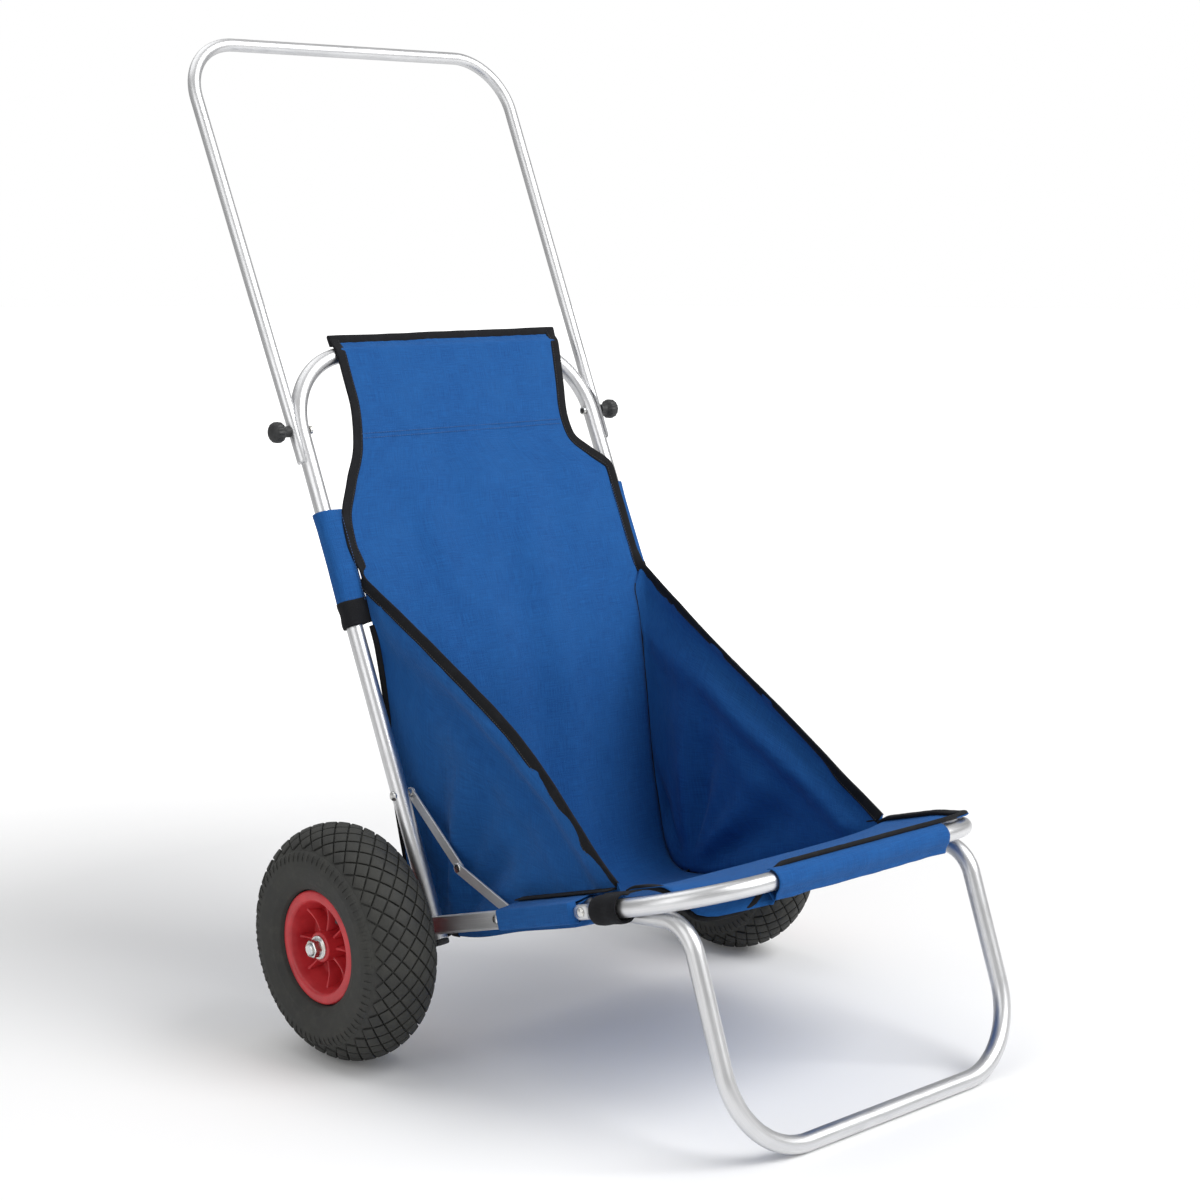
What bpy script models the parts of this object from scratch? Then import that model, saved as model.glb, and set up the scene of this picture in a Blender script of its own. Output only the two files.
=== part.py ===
"""Folding beach cart: a two-wheeled trolley chair with a cloth sling, a front leg and a fold-down handle.

Metres, +Z up. X runs across the chair, the sitter faces -Y, and the ground is Z = 0.
Every side piece is named _R at -X (the sitter's right) and _L at +X (the sitter's left).
"""

import math

import bmesh
import bpy
from mathutils import Matrix, Vector

GAP = 0.0003  # clearance between pieces that touch

# Wheels: a 4 inch rim with a tyre 260 mm across
WHEEL_RADIUS = 0.130
HALF_TRACK = 0.2985
TYRE_HALF_WIDTH = 0.047
RIM_FLANGE_RADIUS = 0.0625
RIM_FLANGE_X = 0.035
HUB_HALF_LENGTH = 0.034
HUB_RADIUS = 0.0165
HUB_BORE = 0.0102
BARREL_RADIUS = 0.0490
BARREL_WALL = 0.006
WEB_HALF = 0.006
TYRE_MIDDLE = 0.0875  # radius of the tyre's round middle line
TYRE_DEPTH = WHEEL_RADIUS - TYRE_MIDDLE
TYRE_WALL = 0.006
TREAD_THICKNESS = 0.010
TYRE_BEAD = ((0.0634, 0.0298), (0.0550, 0.0228), (0.0545, 0.0185))  # radius and distance outwards
RIBS = 8
RIB_HALF_WIDTH = 0.0013
RIB_INNER = 0.0155
RIB_OUTER = 0.0440
RIB_DEPTH = 0.0235
VALVE_TURN = math.radians(22.5)
VALVE_OUT = 0.016
VALVE_FOOT = 0.0525
VALVE_TIP = 0.0275
AXLE_RADIUS = 0.006
AXLE_PAST_HUB = 0.014
SPACER_RADIUS = 0.0076
NUT_RADIUS = 0.0100
NUT_FLANGE_RADIUS = 0.0130
NUT_HEIGHT = 0.0115
AXLE_Y = 0.075  # puts the middle of the cart's depth at Y = 0

# Frame tubes
FRAME_TUBE_RADIUS = 0.0095
HANDLE_TUBE_RADIUS = 0.0075

# Side rails and seat, on one line that rises towards the front from the axle
SEAT_RISE = math.radians(15.9)
RAIL_WEB_X = 0.2305
RAIL_WEB = 0.002
RAIL_HALF_HEIGHT = 0.0095
RAIL_LIP_X = 0.2405
RAIL_LIP = 0.0014
RAIL_REAR = -0.016
RAIL_FRONT = 0.312
RAIL_TONGUE_END = 0.333
RAIL_TONGUE_HALF_HEIGHT = 0.0072
SEAT_HALF_WIDTH = 0.234
SEAT_LENGTH = 0.4905
SEAT_CORNER = 0.103
LUG_END = 0.313
LUG_FULL = 0.333
LUG_ROUND = 0.352
LUG_THICKNESS = 0.004
LUG_MIDDLE_X = RAIL_WEB_X + RAIL_WEB + GAP + LUG_THICKNESS / 2
LUG_HALF_HEIGHT = 0.008
LEG_PIVOT_ALONG = 0.324
BRACE_PIVOT_ALONG = 0.1835

# Back frame, a U that leans back from its pivot on the rails
BACK_LEAN = math.radians(24.07)
BACK_OFFSET = -0.0672
BACK_HALF_WIDTH = 0.2205
BACK_BOTTOM = 0.0005
BACK_TOP = 0.677
BACK_CORNER = 0.092
BACK_CORNER_STEPS = 10
BACK_PLUG = 0.006
# Where the back frame's line crosses the seat line, along one and up the other
BACK_PIVOT_ALONG = -BACK_OFFSET / (math.cos(SEAT_RISE) + math.sin(SEAT_RISE) * math.tan(BACK_LEAN))
BACK_PIVOT_UP = BACK_PIVOT_ALONG * math.sin(SEAT_RISE) / math.cos(BACK_LEAN)
BRACE_TOP_UP = 0.164
HANDLE_BOLT_UP = 0.589

# Handle, a U clamped to the outer sides of the back frame
HANDLE_LEAN = math.radians(24.57)
HANDLE_HALF_WIDTH = 0.2290
HANDLE_SPREAD = 0.0190  # each arm's sideways run for each metre up
HANDLE_BOTTOM = -0.038
HANDLE_TOP = 0.479
HANDLE_CORNER = 0.070
SADDLE_X = BACK_HALF_WIDTH + FRAME_TUBE_RADIUS + GAP
SADDLE_TOP = 0.008
SADDLE_FADE = 0.044

# Front leg, a U whose arms bend back to a pivot on the rails
LEG_HALF_WIDTH = 0.2125
LEG_FOOT_FORWARD = 0.5202
LEG_LEAN = math.radians(19.9)
LEG_HEIGHT = 0.2370
LEG_BEND = 0.040
LEG_CORNER = 0.088
LEG_END_PAST_PIVOT = 0.012
FOOT_FLAT_BELOW = 0.001  # the foot bar's underside is worn flat below this height

# Knee braces: two flat bars a side
BAR_HALF_WIDTH = 0.006
BAR = 0.0025
KNEE_BACK = 0.0843
KNEE_UP = 0.0818
LOWER_BAR_X = 0.2082
UPPER_BAR_X = LOWER_BAR_X - BAR - GAP

# Fasteners
PIN_RADIUS = 0.003
HOLE_RADIUS = PIN_RADIUS + GAP
HEAD_RADIUS = 0.0055
HEAD = 0.0025
KNEE_HEAD = 0.0010
PIN_TAIL = 0.0015
SHOULDER_RADIUS = 0.005
BUSH_RADIUS = 0.0068
KNOB_RADIUS = 0.0120
KNOB_LENGTH = 0.0245
KNOB_COLLAR_RADIUS = 0.0065
INSERT_RADIUS = 0.0050
INSERT_HEIGHT = 0.0034

# Cloth
CLOTH = 0.0015
SLEEVE_INNER = FRAME_TUBE_RADIUS + GAP
SLEEVE_OUTER = SLEEVE_INNER + CLOTH
TOP_SLEEVE_INNER = SLEEVE_INNER + 0.0010
SLING_HALF_WIDTH = 0.1985
PANEL_X = 0.1995
SLING_TOP_SHIFT = 0.024
SLING_TOP_HALF_WIDTH = 0.170
BACK_PANEL_BOTTOM = 0.353
BACK_SLEEVE_BOTTOM = 0.383
BACK_SLEEVE_TOP = 0.491
BACK_STRAP_BOTTOM = 0.357
RAIL_SLEEVE_REAR = 0.197
FRONT_SLEEVE_HALF = 0.1305
FRONT_HEM = 0.019
FRONT_STRAP_REAR = 0.350
FRONT_STRAP_FRONT = 0.389
TOP_BINDING_EDGE = 0.0205
TOP_BINDING_THICKNESS = 0.003
SLING_SPLIT_ALONG = 0.190
SEAT_SAG = -0.019
SEAT_SLOPE_REAR = 0.265
SEAT_SLOPE_FRONT = 0.360
SEAT_FRONT_HEIGHT = 0.008
SHOULDER_TOP = 0.580
SHOULDER_BOTTOM = 0.500
SLING_EDGE_GAP = 0.0012
SLING_FRONT = SEAT_LENGTH - SLEEVE_OUTER - 0.0005
DIAGONAL_TOP_UP = 0.412
DIAGONAL_FRONT_ALONG = 0.350
DIAGONAL_FRONT_HEIGHT = 0.018

SIDES = {"R": -1, "L": 1}
ALUMINIUM = ("aluminium", (0.78, 0.78, 0.78), 0.32, 1.0)
ZINC = ("zinc", (0.70, 0.70, 0.68), 0.28, 1.0)
RUBBER = ("rubber", (0.035, 0.035, 0.034), 0.85, 0.0)
RED_PLASTIC = ("red_plastic", (0.45, 0.025, 0.030), 0.42, 0.0)
BLACK_PLASTIC = ("black_plastic", (0.025, 0.026, 0.027), 0.55, 0.0)
BLUE_CLOTH = ("blue_cloth", (0.015, 0.105, 0.370), 0.90, 0.0)
BLACK_WEBBING = ("black_webbing", (0.012, 0.012, 0.015), 0.90, 0.0)


# ---------------------------------------------------------------- scene helpers


def clear_scene():
    for obj in list(bpy.data.objects):
        bpy.data.objects.remove(obj, do_unlink=True)


def new_collection(name):
    made = bpy.data.collections.new(name)
    bpy.context.scene.collection.children.link(made)
    return made


def material(spec):
    name, color, roughness, metallic = spec
    found = bpy.data.materials.get(name)
    if found:
        return found
    made = bpy.data.materials.new(name)
    made.use_nodes = True
    shader = made.node_tree.nodes["Principled BSDF"]
    shader.inputs["Base Color"].default_value = (*color, 1)
    shader.inputs["Roughness"].default_value = roughness
    shader.inputs["Metallic"].default_value = metallic
    made.diffuse_color = (*color, 1)
    return made


def add_object(name, data, spec, place=None):
    obj = bpy.data.objects.new(name, data)
    PARTS.objects.link(obj)
    data.materials.append(material(spec))
    if place is not None:
        obj.matrix_world = place
    return obj


def make_cutter(obj):
    PARTS.objects.unlink(obj)
    CUTTERS.objects.link(obj)
    obj.hide_render = True
    obj.display_type = "WIRE"
    return obj


def boolean(obj, other, operation):
    modifier = obj.modifiers.new(other.name, "BOOLEAN")
    modifier.object = other
    modifier.operation = operation


def hang_on(obj, pivot):
    """Parents a piece to the empty on its joint, without moving it."""
    bpy.context.view_layer.update()
    obj.parent = pivot
    obj.matrix_parent_inverse = pivot.matrix_world.inverted()


def pivot_empty(name, at):
    empty = bpy.data.objects.new(name, None)
    empty.location = at
    empty.empty_display_size = 0.02
    PARTS.objects.link(empty)
    return empty


# ---------------------------------------------------------------- shape helpers


def curve_object(name, points, radius, spec, resolution, caps):
    curve = bpy.data.curves.new(name, "CURVE")
    curve.dimensions = "3D"
    curve.bevel_depth = radius
    curve.bevel_resolution = resolution
    curve.use_fill_caps = caps
    spline = curve.splines.new("POLY")
    spline.points.add(len(points) - 1)
    for slot, point in zip(spline.points, points):
        slot.co = (*point, 1)
    return add_object(name, curve, spec)


def as_mesh(obj, spec):
    """Turns a curve object into a mesh object with its caps welded on."""
    bpy.context.view_layer.update()
    graph = bpy.context.evaluated_depsgraph_get()
    mesh = bpy.data.meshes.new_from_object(obj.evaluated_get(graph))
    name, place = obj.name, obj.matrix_world.copy()
    bpy.data.objects.remove(obj, do_unlink=True)
    work = bmesh.new()
    work.from_mesh(mesh)
    bmesh.ops.remove_doubles(work, verts=work.verts, dist=1e-5)
    work.to_mesh(mesh)
    work.free()
    mesh.materials.clear()
    made = add_object(name, mesh, spec, place)
    smooth(made)
    return made


def smooth(obj):
    obj.data.shade_smooth()
    obj.data.set_sharp_from_angle(angle=math.radians(35))


def tube(name, points, radius, spec, resolution=3):
    return as_mesh(curve_object(name, points, radius, spec, resolution, True), spec)


def pipe(name, points, inner, wall, spec, resolution=3):
    """An open-ended sleeve round a path."""
    obj = as_mesh(curve_object(name, points, inner + wall, spec, resolution, False), spec)
    shell = obj.modifiers.new("wall", "SOLIDIFY")
    shell.thickness = wall
    shell.offset = -1
    shell.use_even_offset = True
    return obj


def turned(name, profile, steps, side, y, z, spec, closed=False):
    """A profile of (radius, distance outwards), turned about the X line through y, z.

    The outer side of the profile runs from the largest distance to the smallest.
    """
    mesh = bpy.data.meshes.new(name)
    points = [(radius, 0, out) for radius, out in profile]
    edges = [(i, i + 1) for i in range(len(points) - 1)]
    if closed:
        edges.append((len(points) - 1, 0))
    mesh.from_pydata(points, edges, [])
    place = Matrix.Translation((0, y, z)) @ Matrix.Rotation(side * math.pi / 2, 4, "Y")
    obj = add_object(name, mesh, spec, place)
    screw = obj.modifiers.new("turn", "SCREW")
    screw.steps = screw.render_steps = steps
    screw.use_merge_vertices = True
    screw.merge_threshold = 1e-5
    screw.use_smooth_shade = True
    return obj


def extruded(name, loops, depth, place, spec):
    """A flat outline, with any holes as further loops, given a thickness along its own Z."""
    curve = bpy.data.curves.new(name, "CURVE")
    curve.dimensions = "2D"
    curve.fill_mode = "BOTH"
    curve.extrude = depth / 2
    for loop in loops:
        spline = curve.splines.new("POLY")
        spline.points.add(len(loop) - 1)
        for slot, (u, v) in zip(spline.points, loop):
            slot.co = (u, v, 0, 1)
        spline.use_cyclic_u = True
    return as_mesh(add_object(name, curve, spec, place), spec)


def box(name, low, high, place, spec):
    work = bmesh.new()
    bmesh.ops.create_cube(work, size=1)
    size = Vector(high) - Vector(low)
    middle = (Vector(high) + Vector(low)) / 2
    bmesh.ops.scale(work, vec=size, verts=work.verts)
    bmesh.ops.translate(work, vec=middle, verts=work.verts)
    mesh = bpy.data.meshes.new(name)
    work.to_mesh(mesh)
    work.free()
    return add_object(name, mesh, spec, place)


def sheet(name, across, along, point_at, spec, lift=0.0):
    """A cloth sheet: a grid whose points come from point_at(u, v), with u and v from 0 to 1."""
    work = bmesh.new()
    bmesh.ops.create_grid(work, x_segments=across, y_segments=along, size=0.5)
    for vert in work.verts:
        vert.co = point_at(vert.co.x + 0.5, vert.co.y + 0.5)
    mesh = bpy.data.meshes.new(name)
    work.to_mesh(mesh)
    work.free()
    obj = add_object(name, mesh, spec)
    smooth(obj)
    cloth = obj.modifiers.new("cloth", "SOLIDIFY")
    cloth.thickness = CLOTH
    cloth.offset = lift
    return obj


def circle(radius, u=0.0, v=0.0, steps=12):
    turn = [2 * math.pi * i / steps for i in range(steps)]
    return [(u + radius * math.cos(a), v + radius * math.sin(a)) for a in turn]


def stadium(length, radius, steps=6):
    """A bar's outline with round ends, from the hole at 0 to the hole at length."""
    half = [math.pi * i / steps - math.pi / 2 for i in range(steps + 1)]
    right = [(length + radius * math.cos(a), radius * math.sin(a)) for a in half]
    left = [(-radius * math.cos(a), -radius * math.sin(a)) for a in half]
    return right + left


def u_path(half_low, half_high, length, corner, start, extra=(), steps=9):
    """A U as (x, distance) points: up the -X arm, across and down the +X arm.

    extra holds distances along the arms where the tube needs more sections.
    """
    lean = math.atan2(half_high - half_low, length)
    turn = math.pi / 2 + lean
    back = corner * math.tan(turn / 2)
    arm = Vector((-(half_high - half_low), length)).normalized()
    end = Vector((-half_high, length)) - arm * back
    centre = end + Vector((arm.y, -arm.x)) * corner

    def arm_x(distance):
        return -(half_low + (half_high - half_low) * distance / length)

    stops = [start, *extra]
    half = [Vector((arm_x(s), s)) for s in stops]
    first = math.atan2(end.y - centre.y, end.x - centre.x)
    for i in range(steps + 1):
        angle = first - turn * i / steps
        half.append(centre + corner * Vector((math.cos(angle), math.sin(angle))))
    return half + [Vector((-p.x, p.y)) for p in reversed(half)]


# ---------------------------------------------------------------- where things are


def seat_point(x, along, height=0.0):
    """A point on the seat line: along from the axle towards the front, height square to it."""
    return Vector((
        x,
        AXLE_Y - along * math.cos(SEAT_RISE) + height * math.sin(SEAT_RISE),
        WHEEL_RADIUS + along * math.sin(SEAT_RISE) + height * math.cos(SEAT_RISE),
    ))


def back_point(x, up, behind=0.0):
    """A point on the back frame: up its tubes, behind square to them."""
    return Vector((
        x,
        AXLE_Y + BACK_OFFSET + up * math.sin(BACK_LEAN) + behind * math.cos(BACK_LEAN),
        WHEEL_RADIUS + up * math.cos(BACK_LEAN) - behind * math.sin(BACK_LEAN),
    ))


def handle_point(x, up):
    foot = back_point(0, HANDLE_BOLT_UP)
    return foot + Vector((x, up * math.sin(HANDLE_LEAN), up * math.cos(HANDLE_LEAN)))


def seat_place(x):
    """Local X along the seat line to the front, local Y square to it and up, local Z towards -X."""
    along = Vector((0, -math.cos(SEAT_RISE), math.sin(SEAT_RISE)))
    height = Vector((0, math.sin(SEAT_RISE), math.cos(SEAT_RISE)))
    across = along.cross(height)
    turn = Matrix((along, height, across)).transposed().to_4x4()
    return Matrix.Translation(seat_point(x, 0)) @ turn


def bar_place(start, end, x):
    """Local X from one pivot to the other, local Z across."""
    along = (end - start).normalized()
    across = Vector((1, 0, 0))
    turn = Matrix((along, across.cross(along), across)).transposed().to_4x4()
    return Matrix.Translation((x, start.y, start.z)) @ turn


# ---------------------------------------------------------------- frame


def press_lugs(obj):
    """Presses the seat tube's two ends flat and rounds them off."""
    into_seat = seat_place(0).inverted()
    out_of_seat = seat_place(0)
    for vert in obj.data.vertices:
        local = into_seat @ vert.co
        along, height, across = local
        if along > LUG_ROUND - 1e-6:
            continue
        flat = min(1.0, max(0.0, (LUG_ROUND - along) / (LUG_ROUND - LUG_FULL)))
        flat = flat * flat * (3 - 2 * flat)
        middle = math.copysign(SEAT_HALF_WIDTH + (LUG_MIDDLE_X - SEAT_HALF_WIDTH) * flat, across)
        shift = middle - math.copysign(SEAT_HALF_WIDTH, across)
        thin = 1 + flat * (LUG_THICKNESS / (2 * FRAME_TUBE_RADIUS) - 1)
        tall = 1 + flat * (LUG_HALF_HEIGHT / FRAME_TUBE_RADIUS - 1)
        from_end = min(LUG_HALF_HEIGHT, along - LUG_END)
        tall *= math.sqrt(max(0.02, 1 - (1 - from_end / LUG_HALF_HEIGHT) ** 2))
        vert.co = out_of_seat @ Vector((along, height * tall, middle + (across + shift - middle) * thin))


def add_seat_tube():
    ends = [LUG_END + LUG_HALF_HEIGHT * t for t in (0.12, 0.4, 1.0)]
    fade = [LUG_FULL, (LUG_FULL + LUG_ROUND) / 2, LUG_ROUND]
    path = u_path(SEAT_HALF_WIDTH, SEAT_HALF_WIDTH, SEAT_LENGTH, SEAT_CORNER, LUG_END,
                  ends + fade, steps=10)
    obj = tube("seat_tube", [seat_point(x, s) for x, s in path], FRAME_TUBE_RADIUS, ALUMINIUM)
    press_lugs(obj)
    for label, side in SIDES.items():
        drill(obj, f"seat_tube_hole_{label}", side, seat_point(0, LEG_PIVOT_ALONG))
    return obj


def drill(obj, name, side, at, radius=HOLE_RADIUS):
    """Cuts a pin hole across one side of a piece."""
    reach = [(0, 0.30), (radius, 0.30), (radius, 0.15), (0, 0.15)]
    boolean(obj, make_cutter(turned(name, reach, 12, side, at.y, at.z, ZINC)), "DIFFERENCE")


def rail_web_outline():
    square = RAIL_HALF_HEIGHT
    tongue = RAIL_TONGUE_HALF_HEIGHT
    return [
        (RAIL_REAR, -square), (RAIL_FRONT, -square), (RAIL_FRONT, -tongue), (RAIL_TONGUE_END, -tongue),
        (RAIL_TONGUE_END, tongue), (RAIL_FRONT, tongue), (RAIL_FRONT, square), (RAIL_REAR, square),
    ]


def add_side_rail(label, side):
    """An outward-facing channel with a tongue at its front for the seat tube's lug."""
    place = seat_place(side * (RAIL_WEB_X + RAIL_WEB / 2))
    rail = extruded(f"side_rail_{label}", [rail_web_outline()], RAIL_WEB, place, ALUMINIUM)
    inner, outer = RAIL_WEB_X + RAIL_WEB / 4, RAIL_LIP_X
    across = sorted((-side * inner, -side * outer))
    for end, top in (("top", RAIL_HALF_HEIGHT), ("bottom", RAIL_LIP - RAIL_HALF_HEIGHT)):
        low = (RAIL_REAR, top - RAIL_LIP, across[0])
        high = (RAIL_FRONT, top, across[1])
        lip = box(f"side_rail_{label}_{end}_lip", low, high, seat_place(0), ALUMINIUM)
        boolean(rail, make_cutter(lip), "UNION")
    for hole, along in (("back", BACK_PIVOT_ALONG), ("brace", BRACE_PIVOT_ALONG), ("leg", LEG_PIVOT_ALONG)):
        drill(rail, f"side_rail_{hole}_hole_{label}", side, seat_point(0, along))
    drill(rail, f"side_rail_axle_hole_{label}", side, seat_point(0, 0), AXLE_RADIUS + GAP)
    return rail


def add_axle():
    length = HALF_TRACK + HUB_HALF_LENGTH + AXLE_PAST_HUB
    profile = [(0, length), (AXLE_RADIUS, length), (AXLE_RADIUS, -length), (0, -length)]
    return turned("axle", profile, 20, 1, AXLE_Y, WHEEL_RADIUS, ZINC)


def add_axle_spacer(label, side):
    bore = AXLE_RADIUS + GAP
    low = RAIL_WEB_X + RAIL_WEB + GAP
    high = HALF_TRACK - HUB_HALF_LENGTH - GAP
    profile = [(bore, high), (SPACER_RADIUS, high), (SPACER_RADIUS, low), (bore, low)]
    return turned(f"axle_spacer_{label}", profile, 20, side, AXLE_Y, WHEEL_RADIUS, ZINC, closed=True)


def add_axle_nut(label, side):
    """A flanged domed nut on the axle's end."""
    bore = AXLE_RADIUS + GAP
    low = HALF_TRACK + HUB_HALF_LENGTH + GAP
    top, shoulder, flange = low + NUT_HEIGHT, low + 0.85 * NUT_HEIGHT, low + 0.18 * NUT_HEIGHT
    profile = [
        (bore, top), (0.85 * NUT_RADIUS, top), (NUT_RADIUS, shoulder), (NUT_RADIUS, flange),
        (NUT_FLANGE_RADIUS, flange), (NUT_FLANGE_RADIUS, low), (bore, low),
    ]
    return turned(f"axle_nut_{label}", profile, 18, side, AXLE_Y, WHEEL_RADIUS, ZINC, closed=True)


def add_back_tube():
    stops = [BACK_PIVOT_UP, BRACE_TOP_UP, 0.40]
    path = u_path(BACK_HALF_WIDTH, BACK_HALF_WIDTH, BACK_TOP, BACK_CORNER, BACK_BOTTOM, stops,
                  BACK_CORNER_STEPS)
    obj = tube("back_tube", [back_point(x, s) for x, s in path], FRAME_TUBE_RADIUS, ALUMINIUM)
    for label, side in SIDES.items():
        for hole, up in (("pivot", BACK_PIVOT_UP), ("brace", BRACE_TOP_UP), ("clamp", HANDLE_BOLT_UP)):
            drill(obj, f"back_tube_{hole}_hole_{label}", side, back_point(0, up))
    return obj


def add_back_plug(label, side):
    """The end cap under a back tube."""
    x = side * BACK_HALF_WIDTH
    ends = [back_point(x, BACK_BOTTOM - GAP), back_point(x, BACK_BOTTOM - BACK_PLUG)]
    return tube(f"back_plug_{label}", ends, FRAME_TUBE_RADIUS + 0.0004, BLACK_PLASTIC)


def handle_floor(up):
    """How close to the middle of the chair the handle may reach, which gives its D-shaped ends."""
    if up <= SADDLE_TOP:
        return SADDLE_X
    if up >= SADDLE_FADE:
        return 0.0
    fade = (up - SADDLE_TOP) / (SADDLE_FADE - SADDLE_TOP)
    round_inner = HANDLE_HALF_WIDTH + HANDLE_SPREAD * up - HANDLE_TUBE_RADIUS
    return SADDLE_X + (round_inner - SADDLE_X) * fade


def add_handle_tube():
    half_high = HANDLE_HALF_WIDTH + HANDLE_SPREAD * HANDLE_TOP
    stops = [-0.020, -0.006, SADDLE_TOP, 0.017, 0.026, 0.035, SADDLE_FADE, 0.25]
    path = u_path(HANDLE_HALF_WIDTH, half_high, HANDLE_TOP, HANDLE_CORNER, HANDLE_BOTTOM, stops)
    points = [handle_point(x, s) for x, s in path]
    obj = tube("handle_tube", points, HANDLE_TUBE_RADIUS, ALUMINIUM)
    bolt = back_point(0, HANDLE_BOLT_UP)
    for vert in obj.data.vertices:
        up = (vert.co - bolt).dot(Vector((0, math.sin(HANDLE_LEAN), math.cos(HANDLE_LEAN))))
        inner = handle_floor(up)
        if abs(vert.co.x) < inner:
            vert.co.x = math.copysign(inner, vert.co.x)
    for label, side in SIDES.items():
        drill(obj, f"handle_tube_hole_{label}", side, bolt)
    return obj


def leg_profile():
    """The leg seen from the side, as (y, z) points from its pivot end down to the foot."""
    foot = Vector((AXLE_Y - LEG_FOOT_FORWARD, FRAME_TUBE_RADIUS))
    up = Vector((math.sin(LEG_LEAN), math.cos(LEG_LEAN)))
    knee = foot + up * LEG_HEIGHT
    pivot = seat_point(0, LEG_PIVOT_ALONG)
    rear = (Vector((pivot.y, pivot.z)) - knee).normalized()
    turn = math.acos(max(-1, min(1, up.dot(rear))))
    back = LEG_BEND * math.tan(turn / 2)
    start = knee + rear * back
    centre = start + Vector((rear.y, -rear.x)) * LEG_BEND
    first = math.atan2(start.y - centre.y, start.x - centre.x)
    end = Vector((pivot.y, pivot.z)) + rear * LEG_END_PAST_PIVOT
    steps = 7
    bend = []
    for i in range(steps + 1):
        angle = first + turn * i / steps
        bend.append(centre + LEG_BEND * Vector((math.cos(angle), math.sin(angle))))
    corner_start = foot + up * LEG_CORNER
    return [end, *bend, corner_start], foot, up


def add_leg_tube():
    arm, foot, up = leg_profile()
    near = [Vector((-LEG_HALF_WIDTH, p.x, p.y)) for p in arm]
    steps = 9
    for i in range(1, steps + 1):
        angle = math.pi / 2 * i / steps
        x = -LEG_HALF_WIDTH + LEG_CORNER * (1 - math.cos(angle))
        flat = foot + up * LEG_CORNER * (1 - math.sin(angle))
        near.append(Vector((x, flat.x, flat.y)))
    path = near + [Vector((-p.x, p.y, p.z)) for p in reversed(near)]
    obj = tube("leg_tube", path, FRAME_TUBE_RADIUS, ALUMINIUM)
    for vert in obj.data.vertices:
        if vert.co.z < FOOT_FLAT_BELOW:
            vert.co.z = 0
    for label, side in SIDES.items():
        drill(obj, f"leg_tube_hole_{label}", side, seat_point(0, LEG_PIVOT_ALONG))
    return obj


# ---------------------------------------------------------------- braces and fasteners


def brace_points():
    top = back_point(0, BRACE_TOP_UP)
    low = seat_point(0, BRACE_PIVOT_ALONG)
    knee = Vector((0, AXLE_Y - KNEE_BACK, WHEEL_RADIUS + KNEE_UP))
    return top, knee, low


def add_brace_bar(name, start, end, x):
    length = (end - start).length
    loops = [stadium(length, BAR_HALF_WIDTH), circle(HOLE_RADIUS), circle(HOLE_RADIUS, length)]
    return extruded(name, loops, BAR, bar_place(start, end, x), ALUMINIUM)


def pin_profile(stretches):
    """A turned pin, from (outer end, inner end, radius) stretches listed from the outside in."""
    profile = [(0, stretches[0][0])]
    for outer, inner, radius in stretches:
        profile += [(radius, outer), (radius, inner)]
    profile.append((0, stretches[-1][1]))
    return profile


def domed_head(seat, height, radius=HEAD_RADIUS):
    """A rivet head's outer steps, ending at the face it bears on."""
    return [(seat + height, seat + height * 0.5, radius * 0.7), (seat + height * 0.5, seat, radius)]


def add_pin(name, side, at, outer_face, inner_face, shoulders=(), head=HEAD):
    """A rivet or bolt across one side: a domed head outside, any shoulders, and a flat head inside."""
    stretches = domed_head(outer_face + GAP, head)
    reach = outer_face + GAP
    for top, bottom, radius in shoulders:
        stretches.append((reach, top, PIN_RADIUS))
        stretches.append((top, bottom, radius))
        reach = bottom
    stretches.append((reach, inner_face - GAP, PIN_RADIUS))
    stretches.append((inner_face - GAP, inner_face - GAP - PIN_TAIL, HEAD_RADIUS))
    return turned(name, pin_profile(stretches), 10, side, at.y, at.z, ZINC)


def add_side_fasteners(label, side):
    tube_outer = BACK_HALF_WIDTH + FRAME_TUBE_RADIUS
    tube_inner = BACK_HALF_WIDTH - FRAME_TUBE_RADIUS
    web_outer = RAIL_WEB_X + RAIL_WEB
    lug_outer = LUG_MIDDLE_X + LUG_THICKNESS / 2
    top, knee, low = brace_points()
    upper_inner = UPPER_BAR_X - BAR / 2
    lower_outer = LOWER_BAR_X + BAR / 2
    washer = [(tube_inner - GAP, UPPER_BAR_X + BAR / 2 + GAP, SHOULDER_RADIUS)]
    shoulder = [(RAIL_WEB_X - GAP, lower_outer + GAP, SHOULDER_RADIUS)]
    back_pivot = seat_point(0, BACK_PIVOT_ALONG)
    leg_pivot = seat_point(0, LEG_PIVOT_ALONG)
    return {
        "chassis": [
            add_pin(f"back_pivot_bolt_{label}", side, back_pivot, web_outer, tube_inner),
            add_pin(f"leg_pivot_bolt_{label}", side, leg_pivot, lug_outer,
                    LEG_HALF_WIDTH - FRAME_TUBE_RADIUS),
            add_pin(f"brace_lower_rivet_{label}", side, low, web_outer, LOWER_BAR_X - BAR / 2, shoulder),
            add_leg_pivot_bush(label, side, leg_pivot),
        ],
        "back": [add_pin(f"brace_upper_rivet_{label}", side, top, tube_outer, upper_inner, washer)],
        "knee": [add_knee_rivet(label, side, knee, lower_outer)],
    }


def add_knee_rivet(label, side, at, face):
    """The knee rivet's outer head and shank, as far as the lower bar's inner face."""
    stretches = domed_head(face + GAP, KNEE_HEAD) + [(face + GAP, face - BAR, PIN_RADIUS)]
    return turned(f"brace_knee_rivet_{label}", pin_profile(stretches), 10, side, at.y, at.z, ZINC)


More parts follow.
